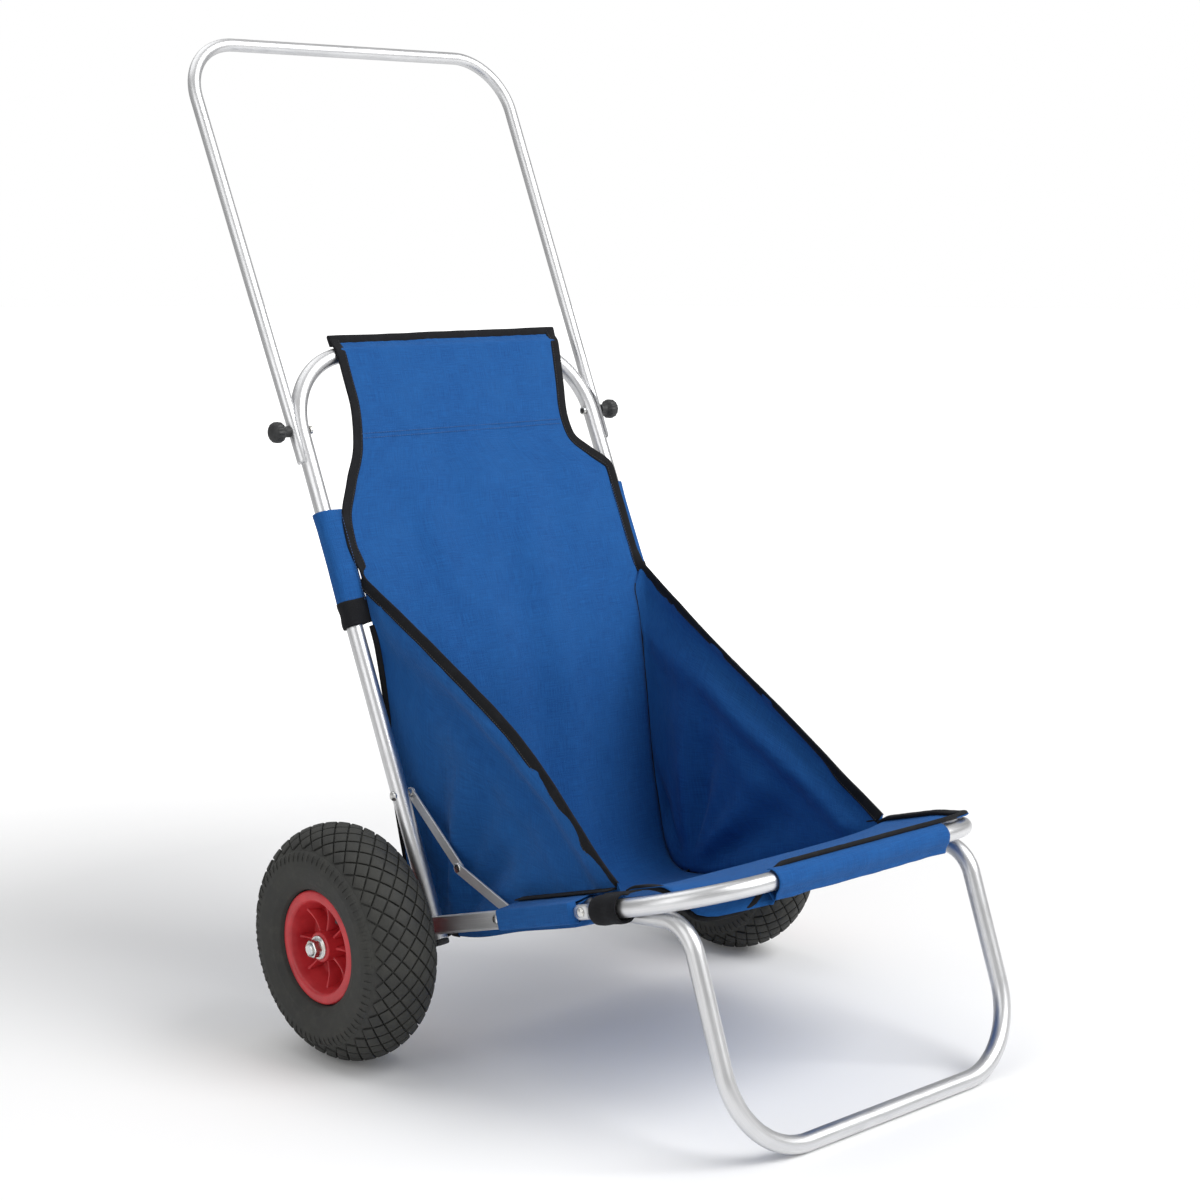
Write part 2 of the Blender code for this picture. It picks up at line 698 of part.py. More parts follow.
def add_leg_pivot_bush(label, side, at):
    low = LEG_HALF_WIDTH + FRAME_TUBE_RADIUS + GAP
    high = RAIL_WEB_X - GAP
    profile = [(HOLE_RADIUS, high), (BUSH_RADIUS, high), (BUSH_RADIUS, low), (HOLE_RADIUS, low)]
    return turned(f"leg_pivot_bush_{label}", profile, 14, side, at.y, at.z, BLACK_PLASTIC, closed=True)


def add_clamp_knob(label, side):
    """A mushroom knob whose moulded-in stud passes through the handle and the back tube."""
    at = back_point(0, HANDLE_BOLT_UP)
    face = HANDLE_HALF_WIDTH + HANDLE_TUBE_RADIUS + GAP
    stud_end = BACK_HALF_WIDTH - FRAME_TUBE_RADIUS - 0.0040
    cap = ((0, 1.0), (0.5, 0.98), (0.83, 0.91), (0.98, 0.80), (1.0, 0.55), (0.92, 0.43), (0.62, 0.35))
    head = [(radius * KNOB_RADIUS, face + out * KNOB_LENGTH) for radius, out in cap]
    stud = [(KNOB_COLLAR_RADIUS, face), (PIN_RADIUS, face), (PIN_RADIUS, stud_end), (0, stud_end)]
    profile = head + stud
    return turned(f"clamp_knob_{label}", profile, 20, side, at.y, at.z, BLACK_PLASTIC)


def add_insert_nut(label, side):
    at = back_point(0, HANDLE_BOLT_UP)
    high = BACK_HALF_WIDTH - FRAME_TUBE_RADIUS - 3 * GAP
    low = high - INSERT_HEIGHT
    profile = [
        (HOLE_RADIUS, high), (INSERT_RADIUS, high), (INSERT_RADIUS, low + 0.0008),
        (INSERT_RADIUS - 0.0008, low), (HOLE_RADIUS, low),
    ]
    return turned(f"insert_nut_{label}", profile, 12, side, at.y, at.z, ZINC, closed=True)


# ---------------------------------------------------------------- wheels


def tyre_side(t, width, depth, lowest):
    """One point of a tyre-shaped outline, t from 0 at the far bead to 1 at the near bead."""
    angle = math.radians(-lowest) + math.radians(180 + 2 * lowest) * t
    return TYRE_MIDDLE + depth * math.sin(angle), width * math.cos(angle)


def add_tyre(label, side):
    """An open tyre carcass with its beads in the rim."""
    steps, inner_steps = 8, 6
    outer = [tyre_side(i / steps, TYRE_HALF_WIDTH, TYRE_DEPTH, 33.6) for i in range(steps + 1)]
    inner = [tyre_side(1 - i / inner_steps, TYRE_HALF_WIDTH - TYRE_WALL, TYRE_DEPTH - TREAD_THICKNESS, 30)
             for i in range(inner_steps + 1)]
    far_bead = [(r, -x) for r, x in TYRE_BEAD]
    outline = outer + far_bead + inner + list(TYRE_BEAD[::-1])
    profile = [(r, HALF_TRACK + x) for r, x in outline]
    return turned(f"tyre_{label}", profile, 32, side, AXLE_Y, WHEEL_RADIUS, RUBBER, closed=True)


def add_inner_tube(label, side):
    """The air tube: a thin ring, left open by a slit at the rim."""
    steps = 6
    width, depth = TYRE_HALF_WIDTH - 0.0095, TYRE_DEPTH - 0.0135
    outer = [tyre_side(i / steps, width, depth, 60) for i in range(steps + 1)]
    inner = [tyre_side(i / steps, width - 0.002, depth - 0.002, 58) for i in range(steps + 1)]
    profile = [(r, HALF_TRACK + x) for r, x in outer] + [(r, HALF_TRACK + x) for r, x in reversed(inner)]
    return turned(f"inner_tube_{label}", profile, 18, side, AXLE_Y, WHEEL_RADIUS, RUBBER, closed=True)


def rim_profile():
    """The rim's section: barrel with two flanges, dished web and long hub."""
    flange, lip, barrel = RIM_FLANGE_RADIUS, RIM_FLANGE_X, BARREL_RADIUS
    near_side = [
        (flange - BARREL_WALL, lip + 0.002), (flange, lip), (flange - 0.001, lip - 0.004),
        (barrel + 0.003, lip - 0.012), (barrel, 0.012),
    ]
    far_side = [(r, -x) for r, x in reversed(near_side)]
    web_near = [(HUB_RADIUS, HUB_HALF_LENGTH), (HUB_RADIUS, WEB_HALF), (barrel - BARREL_WALL, WEB_HALF)]
    web_far = [
        (barrel - BARREL_WALL, -WEB_HALF), (HUB_RADIUS, -WEB_HALF / 3), (HUB_RADIUS, -HUB_HALF_LENGTH),
    ]
    bore = [(HUB_BORE, -HUB_HALF_LENGTH), (HUB_BORE, HUB_HALF_LENGTH)]
    return [(r, HALF_TRACK + x) for r, x in web_near + near_side + far_side + web_far + bore]


def add_rim(label, side):
    rim = turned(f"rim_{label}", rim_profile(), 28, side, AXLE_Y, WHEEL_RADIUS, RED_PLASTIC, closed=True)
    web = Matrix.Translation((side * (HALF_TRACK + WEB_HALF - 0.0005), AXLE_Y, WHEEL_RADIUS))
    near, far = sorted((0.0, side * RIB_DEPTH))
    for i in range(RIBS):
        turn = Matrix.Rotation(2 * math.pi * i / RIBS, 4, "X")
        low, high = (near, -RIB_HALF_WIDTH, RIB_INNER), (far, RIB_HALF_WIDTH, RIB_OUTER)
        rib = box(f"rim_{label}_rib_{i}", low, high, web @ turn, RED_PLASTIC)
        boolean(rim, make_cutter(rib), "UNION")
    hole = turned(f"rim_{label}_valve_hole", [(0, 0.07), (0.0047, 0.07), (0.0047, 0.04), (0, 0.04)],
                  12, 1, 0, 0, ZINC)
    hole.matrix_world = valve_place(side)
    boolean(rim, make_cutter(hole), "DIFFERENCE")
    return rim


def valve_place(side):
    """Local Z from the wheel's middle out through the barrel, half way between two ribs."""
    middle = Matrix.Translation((side * (HALF_TRACK + VALVE_OUT), AXLE_Y, WHEEL_RADIUS))
    return middle @ Matrix.Rotation(VALVE_TURN, 4, "X")


def add_valve(label, side):
    """The air valve's stem, which leaves the barrel towards the hub."""
    wide, stem, tip = 0.0042, 0.0036, 0.0028
    profile = [
        (0, VALVE_FOOT), (wide, VALVE_FOOT), (wide, VALVE_FOOT - 0.0105), (stem, VALVE_FOOT - 0.0125),
        (stem, VALVE_TIP + 0.0015), (tip, VALVE_TIP), (0, VALVE_TIP),
    ]
    obj = turned(f"valve_{label}", profile, 12, 1, 0, 0, BLACK_PLASTIC)
    obj.matrix_world = valve_place(side)
    return obj


def add_hub_bush(label, side):
    """The flanged bush that turns on the axle."""
    bore = AXLE_RADIUS + GAP
    outer, length = HUB_BORE - GAP, HUB_HALF_LENGTH - GAP
    profile = [(bore, length), (outer, length), (outer, -length), (bore, -length)]
    profile = [(r, HALF_TRACK + x) for r, x in profile]
    return turned(f"hub_bush_{label}", profile, 20, side, AXLE_Y, WHEEL_RADIUS, ZINC, closed=True)


# ---------------------------------------------------------------- cloth


def bar_drop(x):
    """How far the back frame's top has curved down at x, and the slope there."""
    past = max(0.0, abs(x) - (BACK_HALF_WIDTH - BACK_CORNER))
    angle = math.asin(min(1.0, past / BACK_CORNER))
    return BACK_CORNER * (1 - math.cos(angle)), angle


def add_top_sleeve():
    """The loop of cloth over the back frame's top."""
    low = SLING_TOP_SHIFT - SLING_TOP_HALF_WIDTH
    high = SLING_TOP_SHIFT + SLING_TOP_HALF_WIDTH
    turns = [math.pi / 2 * i / BACK_CORNER_STEPS for i in range(BACK_CORNER_STEPS)]
    sections = [BACK_HALF_WIDTH - BACK_CORNER * (1 - math.sin(a)) for a in turns]
    inside = [x for x in [-x for x in reversed(sections)] + sections if low + GAP < x < high - GAP]
    points = [back_point(x, BACK_TOP - bar_drop(x)[0]) for x in [low, *inside, high]]
    return pipe("top_sleeve", points, TOP_SLEEVE_INNER, CLOTH, BLUE_CLOTH)


def add_top_binding():
    """The bound seam that stands up along the top of the sling, above the back frame's bar."""
    across = Vector((1, 0, 0))
    up = back_point(0, 1) - back_point(0, 0)
    turn = Matrix((across, up, across.cross(up))).transposed().to_4x4()
    place = Matrix.Translation(back_point(SLING_TOP_SHIFT, BACK_TOP)) @ turn
    foot = TOP_SLEEVE_INNER + CLOTH + GAP
    half = TOP_BINDING_THICKNESS / 2
    low = (-SLING_TOP_HALF_WIDTH, foot, -half)
    high = (SLING_TOP_HALF_WIDTH, TOP_BINDING_EDGE, half)
    return box("top_binding", low, high, place, BLACK_WEBBING)


def sling_half_width(up):
    """The back panel's half width: narrow at the top, with shoulders down to the sleeves."""
    wide = BACK_HALF_WIDTH - SLEEVE_OUTER - SLING_EDGE_GAP
    t = min(1.0, max(0.0, (SHOULDER_TOP - up) / (SHOULDER_TOP - SHOULDER_BOTTOM)))
    t = t * t * (3 - 2 * t)
    return SLING_TOP_HALF_WIDTH + (wide - SLING_TOP_HALF_WIDTH) * t


def sling_shift(up):
    return SLING_TOP_SHIFT * min(1.0, max(0.0, (up - SHOULDER_BOTTOM) / (SHOULDER_TOP - SHOULDER_BOTTOM)))


def add_sling_back():
    low = BACK_PANEL_BOTTOM

    def point_at(u, v):
        guess = low + (BACK_TOP - low) * v
        x = sling_shift(guess) + (2 * u - 1) * sling_half_width(guess)
        drop, angle = bar_drop(x)
        top = BACK_TOP - drop - (SLEEVE_OUTER + 0.0022) / math.cos(angle)
        up = low + (top - low) * v
        return back_point(x, up)

    return sheet("sling_back", 10, 10, point_at, BLUE_CLOTH)


def bucket_profile(steps=16):
    """The sling's middle line from the foot of the back panel, round the bucket, to the seat panel.

    It is a cubic curve in (y, z) with three stretches, each between two points and their directions.
    """
    start = back_point(0, BACK_PANEL_BOTTOM - 0.0008)
    wall = Vector((0, AXLE_Y + 0.022, WHEEL_RADIUS + 0.091))
    floor = Vector((0, AXLE_Y - 0.070, WHEEL_RADIUS - 0.007))
    end = seat_point(0, SLING_SPLIT_ALONG, SEAT_SAG)
    down = Vector((0, -0.21, -0.98))
    forward = Vector((0, -math.cos(SEAT_RISE), math.sin(SEAT_RISE)))
    lean = Vector((0, -math.sin(BACK_LEAN), -math.cos(BACK_LEAN)))
    level = Vector((0, -0.99, 0.02))
    pieces = ((start, lean, wall, down, 0.30), (wall, down, floor, level, 0.52), (floor, level, end, forward, 0.40))
    points = []
    for a, a_way, b, b_way, pull in pieces:
        reach = (b - a).length * pull
        first, second = a + a_way * reach, b - b_way * reach
        for i in range(steps):
            t = i / steps
            s = 1 - t
            points.append(s**3 * a + 3 * s * s * t * first + 3 * s * t * t * second + t**3 * b)
    points.append(end)
    return points


def along_profile(profile, v):
    place = v * (len(profile) - 1)
    i = min(len(profile) - 2, int(place))
    return profile[i].lerp(profile[i + 1], place - i)


def add_sling_bucket():
    profile = bucket_profile()

    def point_at(u, v):
        point = along_profile(profile, v)
        return Vector(((1 - 2 * u) * SLING_HALF_WIDTH, point.y, point.z))

    return sheet("sling_bucket", 4, 20, point_at, BLUE_CLOTH)


def seat_height(along):
    """The seat panel's height over the seat line: deep at the rear, up to the front tube."""
    t = min(1.0, max(0.0, (along - SEAT_SLOPE_REAR) / (SEAT_SLOPE_FRONT - SEAT_SLOPE_REAR)))
    t = t * t * (3 - 2 * t)
    return SEAT_SAG + (SEAT_FRONT_HEIGHT - SEAT_SAG) * t


def seat_panel_half_width(along):
    straight = SEAT_LENGTH - SEAT_CORNER
    if along <= straight:
        return SLING_HALF_WIDTH
    inner = SEAT_CORNER - FRAME_TUBE_RADIUS - 0.0015
    corner = SEAT_HALF_WIDTH - SEAT_CORNER
    past = min(inner, along - straight)
    return min(SLING_HALF_WIDTH, corner + math.sqrt(inner * inner - past * past))


def add_sling_seat():
    start = SLING_SPLIT_ALONG + 0.0008

    def point_at(u, v):
        along = start + (SLING_FRONT - start) * v
        return seat_point((1 - 2 * u) * seat_panel_half_width(along), along, seat_height(along))

    return sheet("sling_seat", 4, 16, point_at, BLUE_CLOTH)


def add_side_panel(label, side):
    """The triangular side cloth between the bucket's outline and the diagonal edge."""
    foot = back_point(0, BACK_PANEL_BOTTOM - 0.004, -0.002)
    rim = [(foot.y, foot.z)] + [(p.y, p.z) for p in bucket_profile(6)[1:]]
    steps = 6
    for i in range(1, steps + 1):
        along = SLING_SPLIT_ALONG + (DIAGONAL_FRONT_ALONG - SLING_SPLIT_ALONG) * i / steps
        point = seat_point(0, along, seat_height(along))
        rim.append((point.y, point.z))
    front = seat_point(0, DIAGONAL_FRONT_ALONG, DIAGONAL_FRONT_HEIGHT)
    top = back_point(0, DIAGONAL_TOP_UP, -0.004)
    rim += [(front.y, front.z), (top.y, top.z)]
    outline = [(y, z) for y, z in rim]
    across = Vector((1, 0, 0))
    turn = Matrix((Vector((0, 1, 0)), Vector((0, 0, 1)), across)).transposed().to_4x4()
    place = Matrix.Translation((side * (PANEL_X + CLOTH / 2), 0, 0)) @ turn
    return extruded(f"side_panel_{label}", [outline], CLOTH, place, BLUE_CLOTH)


def add_back_sleeve(label, side):
    x = side * BACK_HALF_WIDTH
    ends = [back_point(x, BACK_SLEEVE_BOTTOM), back_point(x, BACK_SLEEVE_TOP)]
    return pipe(f"back_sleeve_{label}", ends, SLEEVE_INNER, CLOTH, BLUE_CLOTH)


def add_back_strap(label, side):
    x = side * BACK_HALF_WIDTH
    ends = [back_point(x, BACK_STRAP_BOTTOM), back_point(x, BACK_SLEEVE_BOTTOM - 0.0006)]
    return pipe(f"back_strap_{label}", ends, SLEEVE_INNER, 0.0020, BLACK_WEBBING)


def add_front_strap(label, side):
    x = side * SEAT_HALF_WIDTH
    ends = [seat_point(x, FRONT_STRAP_REAR), seat_point(x, FRONT_STRAP_FRONT)]
    return pipe(f"front_strap_{label}", ends, SLEEVE_INNER, 0.0016, BLACK_WEBBING)


def add_rail_sleeve(label, side):
    """Cloth wrapped round the channel."""
    inner = (RAIL_WEB_X - GAP, RAIL_LIP_X + GAP)
    half = RAIL_HALF_HEIGHT + GAP
    ring = [(inner[0], -half), (inner[1], -half), (inner[1], half), (inner[0], half)]
    outer_half = half + CLOTH
    outer = [
        (inner[0] - CLOTH, -outer_half), (inner[1] + CLOTH, -outer_half),
        (inner[1] + CLOTH, outer_half), (inner[0] - CLOTH, outer_half),
    ]
    out = Vector((side, 0, 0))
    height = seat_place(0).col[1].to_3d()
    turn = Matrix((out, height, out.cross(height))).transposed().to_4x4()
    middle = seat_point(0, (RAIL_SLEEVE_REAR + RAIL_FRONT) / 2)
    length = RAIL_FRONT - RAIL_SLEEVE_REAR - 0.0006
    return extruded(f"rail_sleeve_{label}", [outer, ring], length, Matrix.Translation(middle) @ turn,
                    BLUE_CLOTH)


def add_front_sleeve():
    """Cloth round the front cross tube, with its hem hanging below."""
    outer = []
    steps = 20
    for i in range(steps):
        angle = 2 * math.pi * i / steps
        y, z = SLEEVE_OUTER * math.cos(angle), SLEEVE_OUTER * math.sin(angle)
        if z < -SLEEVE_OUTER * 0.9:
            z = -FRONT_HEM
            y *= 0.5
        outer.append((y, z))
    hole = circle(SLEEVE_INNER, steps=16)
    turn = Matrix((Vector((0, 1, 0)), Vector((0, 0, 1)), Vector((1, 0, 0)))).transposed().to_4x4()
    place = Matrix.Translation(seat_point(0, SEAT_LENGTH)) @ turn
    return extruded("front_sleeve", [outer, hole], 2 * FRONT_SLEEVE_HALF, place, BLUE_CLOTH)


# ---------------------------------------------------------------- assembly


def build_chassis():
    add_seat_tube()
    add_axle()
    for label, side in SIDES.items():
        add_side_rail(label, side)
        add_axle_spacer(label, side)
        add_axle_nut(label, side)
        add_rail_sleeve(label, side)
        add_front_strap(label, side)
    add_front_sleeve()
    add_sling_seat()
    add_sling_bucket()


def build_back(pivot):
    pieces = [add_back_tube(), add_top_sleeve(), add_top_binding(), add_sling_back()]
    for label, side in SIDES.items():
        pieces += [add_back_plug(label, side), add_insert_nut(label, side)]
        pieces += [add_back_sleeve(label, side), add_back_strap(label, side)]
        add_side_panel(label, side)
    for piece in pieces:
        hang_on(piece, pivot)


def build_braces(back_pivot):
    top, knee, low = brace_points()
    for label, side in SIDES.items():
        upper_pivot = pivot_empty(f"pivot_brace_upper_{label}", (side * UPPER_BAR_X, top.y, top.z))
        lower_pivot = pivot_empty(f"pivot_brace_lower_{label}", (side * LOWER_BAR_X, low.y, low.z))
        fasteners = add_side_fasteners(label, side)
        upper = add_brace_bar(f"brace_upper_{label}", top, knee, side * UPPER_BAR_X)
        lower = add_brace_bar(f"brace_lower_{label}", low, knee, side * LOWER_BAR_X)
        hang_on(upper, upper_pivot)
        hang_on(lower, lower_pivot)
        for piece in fasteners["knee"]:
            hang_on(piece, lower_pivot)
        for piece in fasteners["back"]:
            hang_on(piece, back_pivot)


def build_wheels():
    for label, side in SIDES.items():
        hub = pivot_empty(f"pivot_wheel_{label}", (side * HALF_TRACK, AXLE_Y, WHEEL_RADIUS))
        for add in (add_tyre, add_inner_tube, add_rim, add_valve, add_hub_bush):
            hang_on(add(label, side), hub)


def build_handle():
    at = back_point(0, HANDLE_BOLT_UP)
    hang_on(add_handle_tube(), pivot_empty("pivot_handle", at))
    for label, side in SIDES.items():
        knob = pivot_empty(f"pivot_clamp_knob_{label}", (side * SADDLE_X, at.y, at.z))
        hang_on(add_clamp_knob(label, side), knob)


def build():
    build_chassis()
    back_pivot = pivot_empty("pivot_back", seat_point(0, BACK_PIVOT_ALONG))
    build_back(back_pivot)
    build_braces(back_pivot)
    hang_on(add_leg_tube(), pivot_empty("pivot_leg", seat_point(0, LEG_PIVOT_ALONG)))
    build_handle()
    build_wheels()


clear_scene()
PARTS = new_collection("beach_cart")
CUTTERS = new_collection("cutters")
build()
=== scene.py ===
"""Looks for the folding beach cart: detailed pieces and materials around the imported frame.

Lengths are in metres. X runs across the chair, the sitter faces -Y and Z is up. "R" is the -X side.
"""
import math

import bmesh
import bpy
import numpy as np
from mathutils import Matrix, Vector, noise


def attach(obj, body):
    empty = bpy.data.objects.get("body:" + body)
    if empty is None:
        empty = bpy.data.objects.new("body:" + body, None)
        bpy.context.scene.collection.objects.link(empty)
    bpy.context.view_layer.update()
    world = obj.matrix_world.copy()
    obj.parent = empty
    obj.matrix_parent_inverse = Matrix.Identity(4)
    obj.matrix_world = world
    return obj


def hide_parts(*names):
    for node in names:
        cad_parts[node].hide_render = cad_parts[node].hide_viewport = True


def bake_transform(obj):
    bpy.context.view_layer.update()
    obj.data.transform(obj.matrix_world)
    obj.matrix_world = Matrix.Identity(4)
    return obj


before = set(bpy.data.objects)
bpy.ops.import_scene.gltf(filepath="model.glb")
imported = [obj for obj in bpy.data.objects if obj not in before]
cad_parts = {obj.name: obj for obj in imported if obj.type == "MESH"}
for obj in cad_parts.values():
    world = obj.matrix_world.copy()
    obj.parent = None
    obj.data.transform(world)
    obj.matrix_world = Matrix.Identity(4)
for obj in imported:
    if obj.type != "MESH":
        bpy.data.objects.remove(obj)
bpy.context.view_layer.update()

SIDES = {"R": -1, "L": 1}
TAU = 2 * math.pi
GAP = 0.0003
WELD, DISSOLVE = 1e-6, 1e-7  # points and edges closer than this are one

# wheels
WHEEL_RADIUS = 0.130
HALF_TRACK = 0.2985
TYRE_HALF_WIDTH = 0.047
TYRE_MIDDLE = 0.0875
TYRE_DEPTH = 0.0425
AXLE_Y = 0.075
AXLE_RADIUS = 0.006
HUB_HALF = 0.034
HUB_RADIUS = 0.0165
FLANGE_RADIUS = 0.0625
FLANGE_X = 0.035
BARREL_RADIUS = 0.049
NUT_RADIUS = 0.0100
NUT_FLANGE_RADIUS = 0.0130
NUT_HEIGHT = 0.0115
RIBS = 8
RIB_FOOT = 0.0045
VALVE_TURN = math.radians(22.5)
TREAD_AROUND = 36
TREAD_ROWS = 5
TREAD_PITCH = 0.0096
TREAD_DEPTH = 0.0026

# frame
TUBE = 0.0095
HANDLE_TUBE = 0.0075
SEAT_RISE = math.radians(15.9)
RAIL_WEB_X, RAIL_WEB = 0.2305, 0.002
RAIL_HALF = 0.0095
RAIL_LIP_X, RAIL_LIP = 0.2405, 0.0014
RAIL_REAR, RAIL_FRONT = -0.016, 0.312
TONGUE_END, TONGUE_HALF = 0.333, 0.0072
SEAT_HALF = 0.234
SEAT_LENGTH = 0.4905
SEAT_CORNER = 0.103
LUG_END, LUG_FULL, LUG_ROUND = 0.313, 0.333, 0.352
LUG_THICKNESS = 0.004
LUG_MIDDLE_X = RAIL_WEB_X + RAIL_WEB + GAP + LUG_THICKNESS / 2
LUG_HALF = 0.008
LEG_PIVOT_ALONG = 0.324
BRACE_PIVOT_ALONG = 0.1835
BACK_LEAN = math.radians(24.07)
BACK_OFFSET = -0.0672
BACK_HALF = 0.2205
BACK_BOTTOM, BACK_TOP = 0.0005, 0.677
BACK_CORNER = 0.092
BACK_PIVOT_ALONG = -BACK_OFFSET / (math.cos(SEAT_RISE) + math.sin(SEAT_RISE) * math.tan(BACK_LEAN))
BRACE_TOP_UP = 0.164
BOLT_UP = 0.589
HANDLE_LEAN = math.radians(24.57)
HANDLE_HALF = 0.2290
HANDLE_SPREAD = 0.0190
HANDLE_BOTTOM, HANDLE_TOP = -0.038, 0.479
HANDLE_CORNER = 0.070
SADDLE_X = BACK_HALF + TUBE + GAP
SADDLE_TOP, SADDLE_FADE = 0.008, 0.044
LEG_HALF = 0.2125
LEG_FOOT_FORWARD = 0.5202
LEG_LEAN = math.radians(19.9)
LEG_HEIGHT = 0.2370
LEG_BEND = 0.040
LEG_CORNER = 0.088
FOOT_FLAT_BELOW = 0.001

# braces and fasteners
BAR_HALF, BAR = 0.006, 0.0025
KNEE_BACK, KNEE_UP = 0.0843, 0.0818
LOWER_BAR_X = 0.2082
UPPER_BAR_X = LOWER_BAR_X - BAR - GAP
PIN = 0.003
HEAD_RADIUS = 0.0055
HEAD = 0.0025
KNOB_RADIUS = 0.0120
KNOB_LENGTH = 0.0245

# cloth
CLOTH = 0.0009
SLEEVE_CLOTH, WEB = 0.0011, 0.0016
PANEL_COLUMNS = 64
BUCKET_STEPS = 22
BUCKET_ROWS = 3 * BUCKET_STEPS
WRAP = 0.0118  # the cloth's distance from a frame tube's middle
PANEL_UP, STRAP_UP, SLEEVE_UP, SLEEVE_TOP = 0.353, 0.357, 0.383, 0.491
JOIN_UP = {-1: 0.414, 1: 0.390}  # where the diagonal meets each side of the back panel
POCKET_BOTTOM = 0.567
POCKET_SEAMS = (0.004, 0.0095)  # the two rows of stitches, above the pocket's bottom
POCKET_INSET = 0.026  # how much narrower the rear layer is than the front one, at each side
PEAK_BEHIND = -0.0030  # where the bound top edge stands
RAIL_SLEEVE_REAR = 0.197
SLEEVE_LIP = 0.0030
RAIL_SEAM_X, RAIL_SEAM_HEIGHT = 0.2012, 0.0166
SPLIT_ALONG = 0.190  # where the bucket's floor becomes the seat
SEAT_SAG = -0.0195
SEAT_SLOPE = (0.265, 0.360)
SEAT_FRONT_HEIGHT = 0.0095
CORNER_DROP = -0.0225
SEAT_EDGE = 0.1985
OVER_TUBE = 0.0129
NEAR_EDGE_HEIGHT, FAR_EDGE_HEIGHT = 0.0135, 0.0175
STRAP_ALONG = (0.350, 0.389)
DIAGONAL_ALONG, DIAGONAL_HEIGHT = 0.350, 0.0220
FRONT_SLEEVE_HALF = 0.1305
FRONT_HEM = 0.019
TAPE_WIDTH = 0.0126
TAPE = 0.0028
TOP_TAPE_UP, TOP_TAPE_WIDTH, TOP_TAPE = 0.6990, 0.0136, 0.0046
TAPE_PITCH = 0.003
# the two layers over the top tube as (up, behind), from the tube to the bound edge
REAR_LAYER = ((0.6815, 0.0115), (0.6858, 0.0094), (0.6882, 0.0062), (0.6897, 0.0018), (0.6917, -0.0010),
              (0.6950, -0.0021))
FRONT_LAYER = ((0.3000, -WRAP), (0.6790, -WRAP), (0.6810, -0.0110), (0.6840, -0.0086), (0.6865, -0.0062),
               (0.6885, -0.0049), (0.6915, -0.0041), (0.6950, -0.0038), (0.6970, PEAK_BEHIND))
# the back panel's two edges, as (up the back, X)
NEAR_EDGE = ((0.353, -0.2040), (0.414, -0.2020), (0.4485, -0.2085), (0.4777, -0.2060), (0.5234, -0.1845),
             (0.5639, -0.1630), (0.6178, -0.1515), (0.6850, -0.1505), (0.6990, -0.1480))
FAR_EDGE = ((0.353, 0.1960), (0.390, 0.2180), (0.4664, 0.2190), (0.5050, 0.2198), (0.5146, 0.2190),
            (0.5377, 0.1915), (0.5580, 0.1695), (0.5760, 0.1680), (0.6266, 0.1785), (0.6885, 0.1910),
            (0.6990, 0.1930))
# half the width of the sling round the bucket, by its share of the way from the back panel to the seat
NEAR_LOW = ((0, 0.2040), (0.15, 0.2030), (0.42, 0.1965), (0.66, 0.1865), (0.85, 0.1880), (1, 0.1950))
FAR_LOW = ((0, 0.1960), (0.15, 0.1910), (0.42, 0.1925), (0.66, 0.1835), (0.85, 0.1810), (1, 0.1930))


# ---------------------------------------------------------------- where things are


def seat_point(x, along, height=0.0):
    return np.array([
        x,
        AXLE_Y - along * math.cos(SEAT_RISE) + height * math.sin(SEAT_RISE),
        WHEEL_RADIUS + along * math.sin(SEAT_RISE) + height * math.cos(SEAT_RISE),
    ])


def back_point(x, up, behind=0.0):
    return np.array([
        x,
        AXLE_Y + BACK_OFFSET + up * math.sin(BACK_LEAN) + behind * math.cos(BACK_LEAN),
        WHEEL_RADIUS + up * math.cos(BACK_LEAN) - behind * math.sin(BACK_LEAN),
    ])


def handle_point(x, up):
    return back_point(0, BOLT_UP) + np.array([x, up * math.sin(HANDLE_LEAN), up * math.cos(HANDLE_LEAN)])


def unit(v):
    v = np.asarray(v, float)
    return v / max(1e-12, np.linalg.norm(v))


def ease(t):
    t = min(1.0, max(0.0, t))
    return t * t * (3 - 2 * t)


def bump(distance, width):
    return math.exp(-(distance / width) ** 2)


def through(knots, t):
    """A smooth value through (place, value) knots, without overshoot."""
    places = [k[0] for k in knots]
    values = [k[1] for k in knots]
    t = min(places[-1], max(places[0], t))
    rises = np.diff(values) / np.diff(places)
    slopes = [rises[0]]
    for a, b in zip(rises, rises[1:]):
        slopes.append(2 * a * b / (a + b) if a * b > 0 else 0.0)
    slopes.append(rises[-1])
    i = min(len(knots) - 2, max(0, int(np.searchsorted(places, t)) - 1))
    span = places[i + 1] - places[i]
    s = (t - places[i]) / span
    return ((2 * s**3 - 3 * s**2 + 1) * values[i] + (s**3 - 2 * s**2 + s) * span * slopes[i]
            + (3 * s**2 - 2 * s**3) * values[i + 1] + (s**3 - s**2) * span * slopes[i + 1])


def waves(x, y, z, size, seed=0.0):
    """Soft noise between about -1 and 1, with features of that size."""
    return noise.noise(Vector((x / size + seed, y / size + 3.1 * seed, z / size)))


# ---------------------------------------------------------------- mesh building


def distances(path):
    """How far along the path each of its points is."""
    return np.concatenate([[0], np.cumsum(np.linalg.norm(np.diff(path, axis=0), axis=1))])


def outward(obj, weld=0.0, dissolve=0.0):
    """Turns the faces outwards, after welding points and dissolving edges shorter than these."""
    made = bmesh.new()
    made.from_mesh(obj.data)
    if weld:
        bmesh.ops.remove_doubles(made, verts=made.verts, dist=weld)
    if dissolve:
        bmesh.ops.dissolve_degenerate(made, edges=made.edges, dist=dissolve)
    bmesh.ops.recalc_face_normals(made, faces=made.faces)
    made.to_mesh(obj.data)
    made.free()


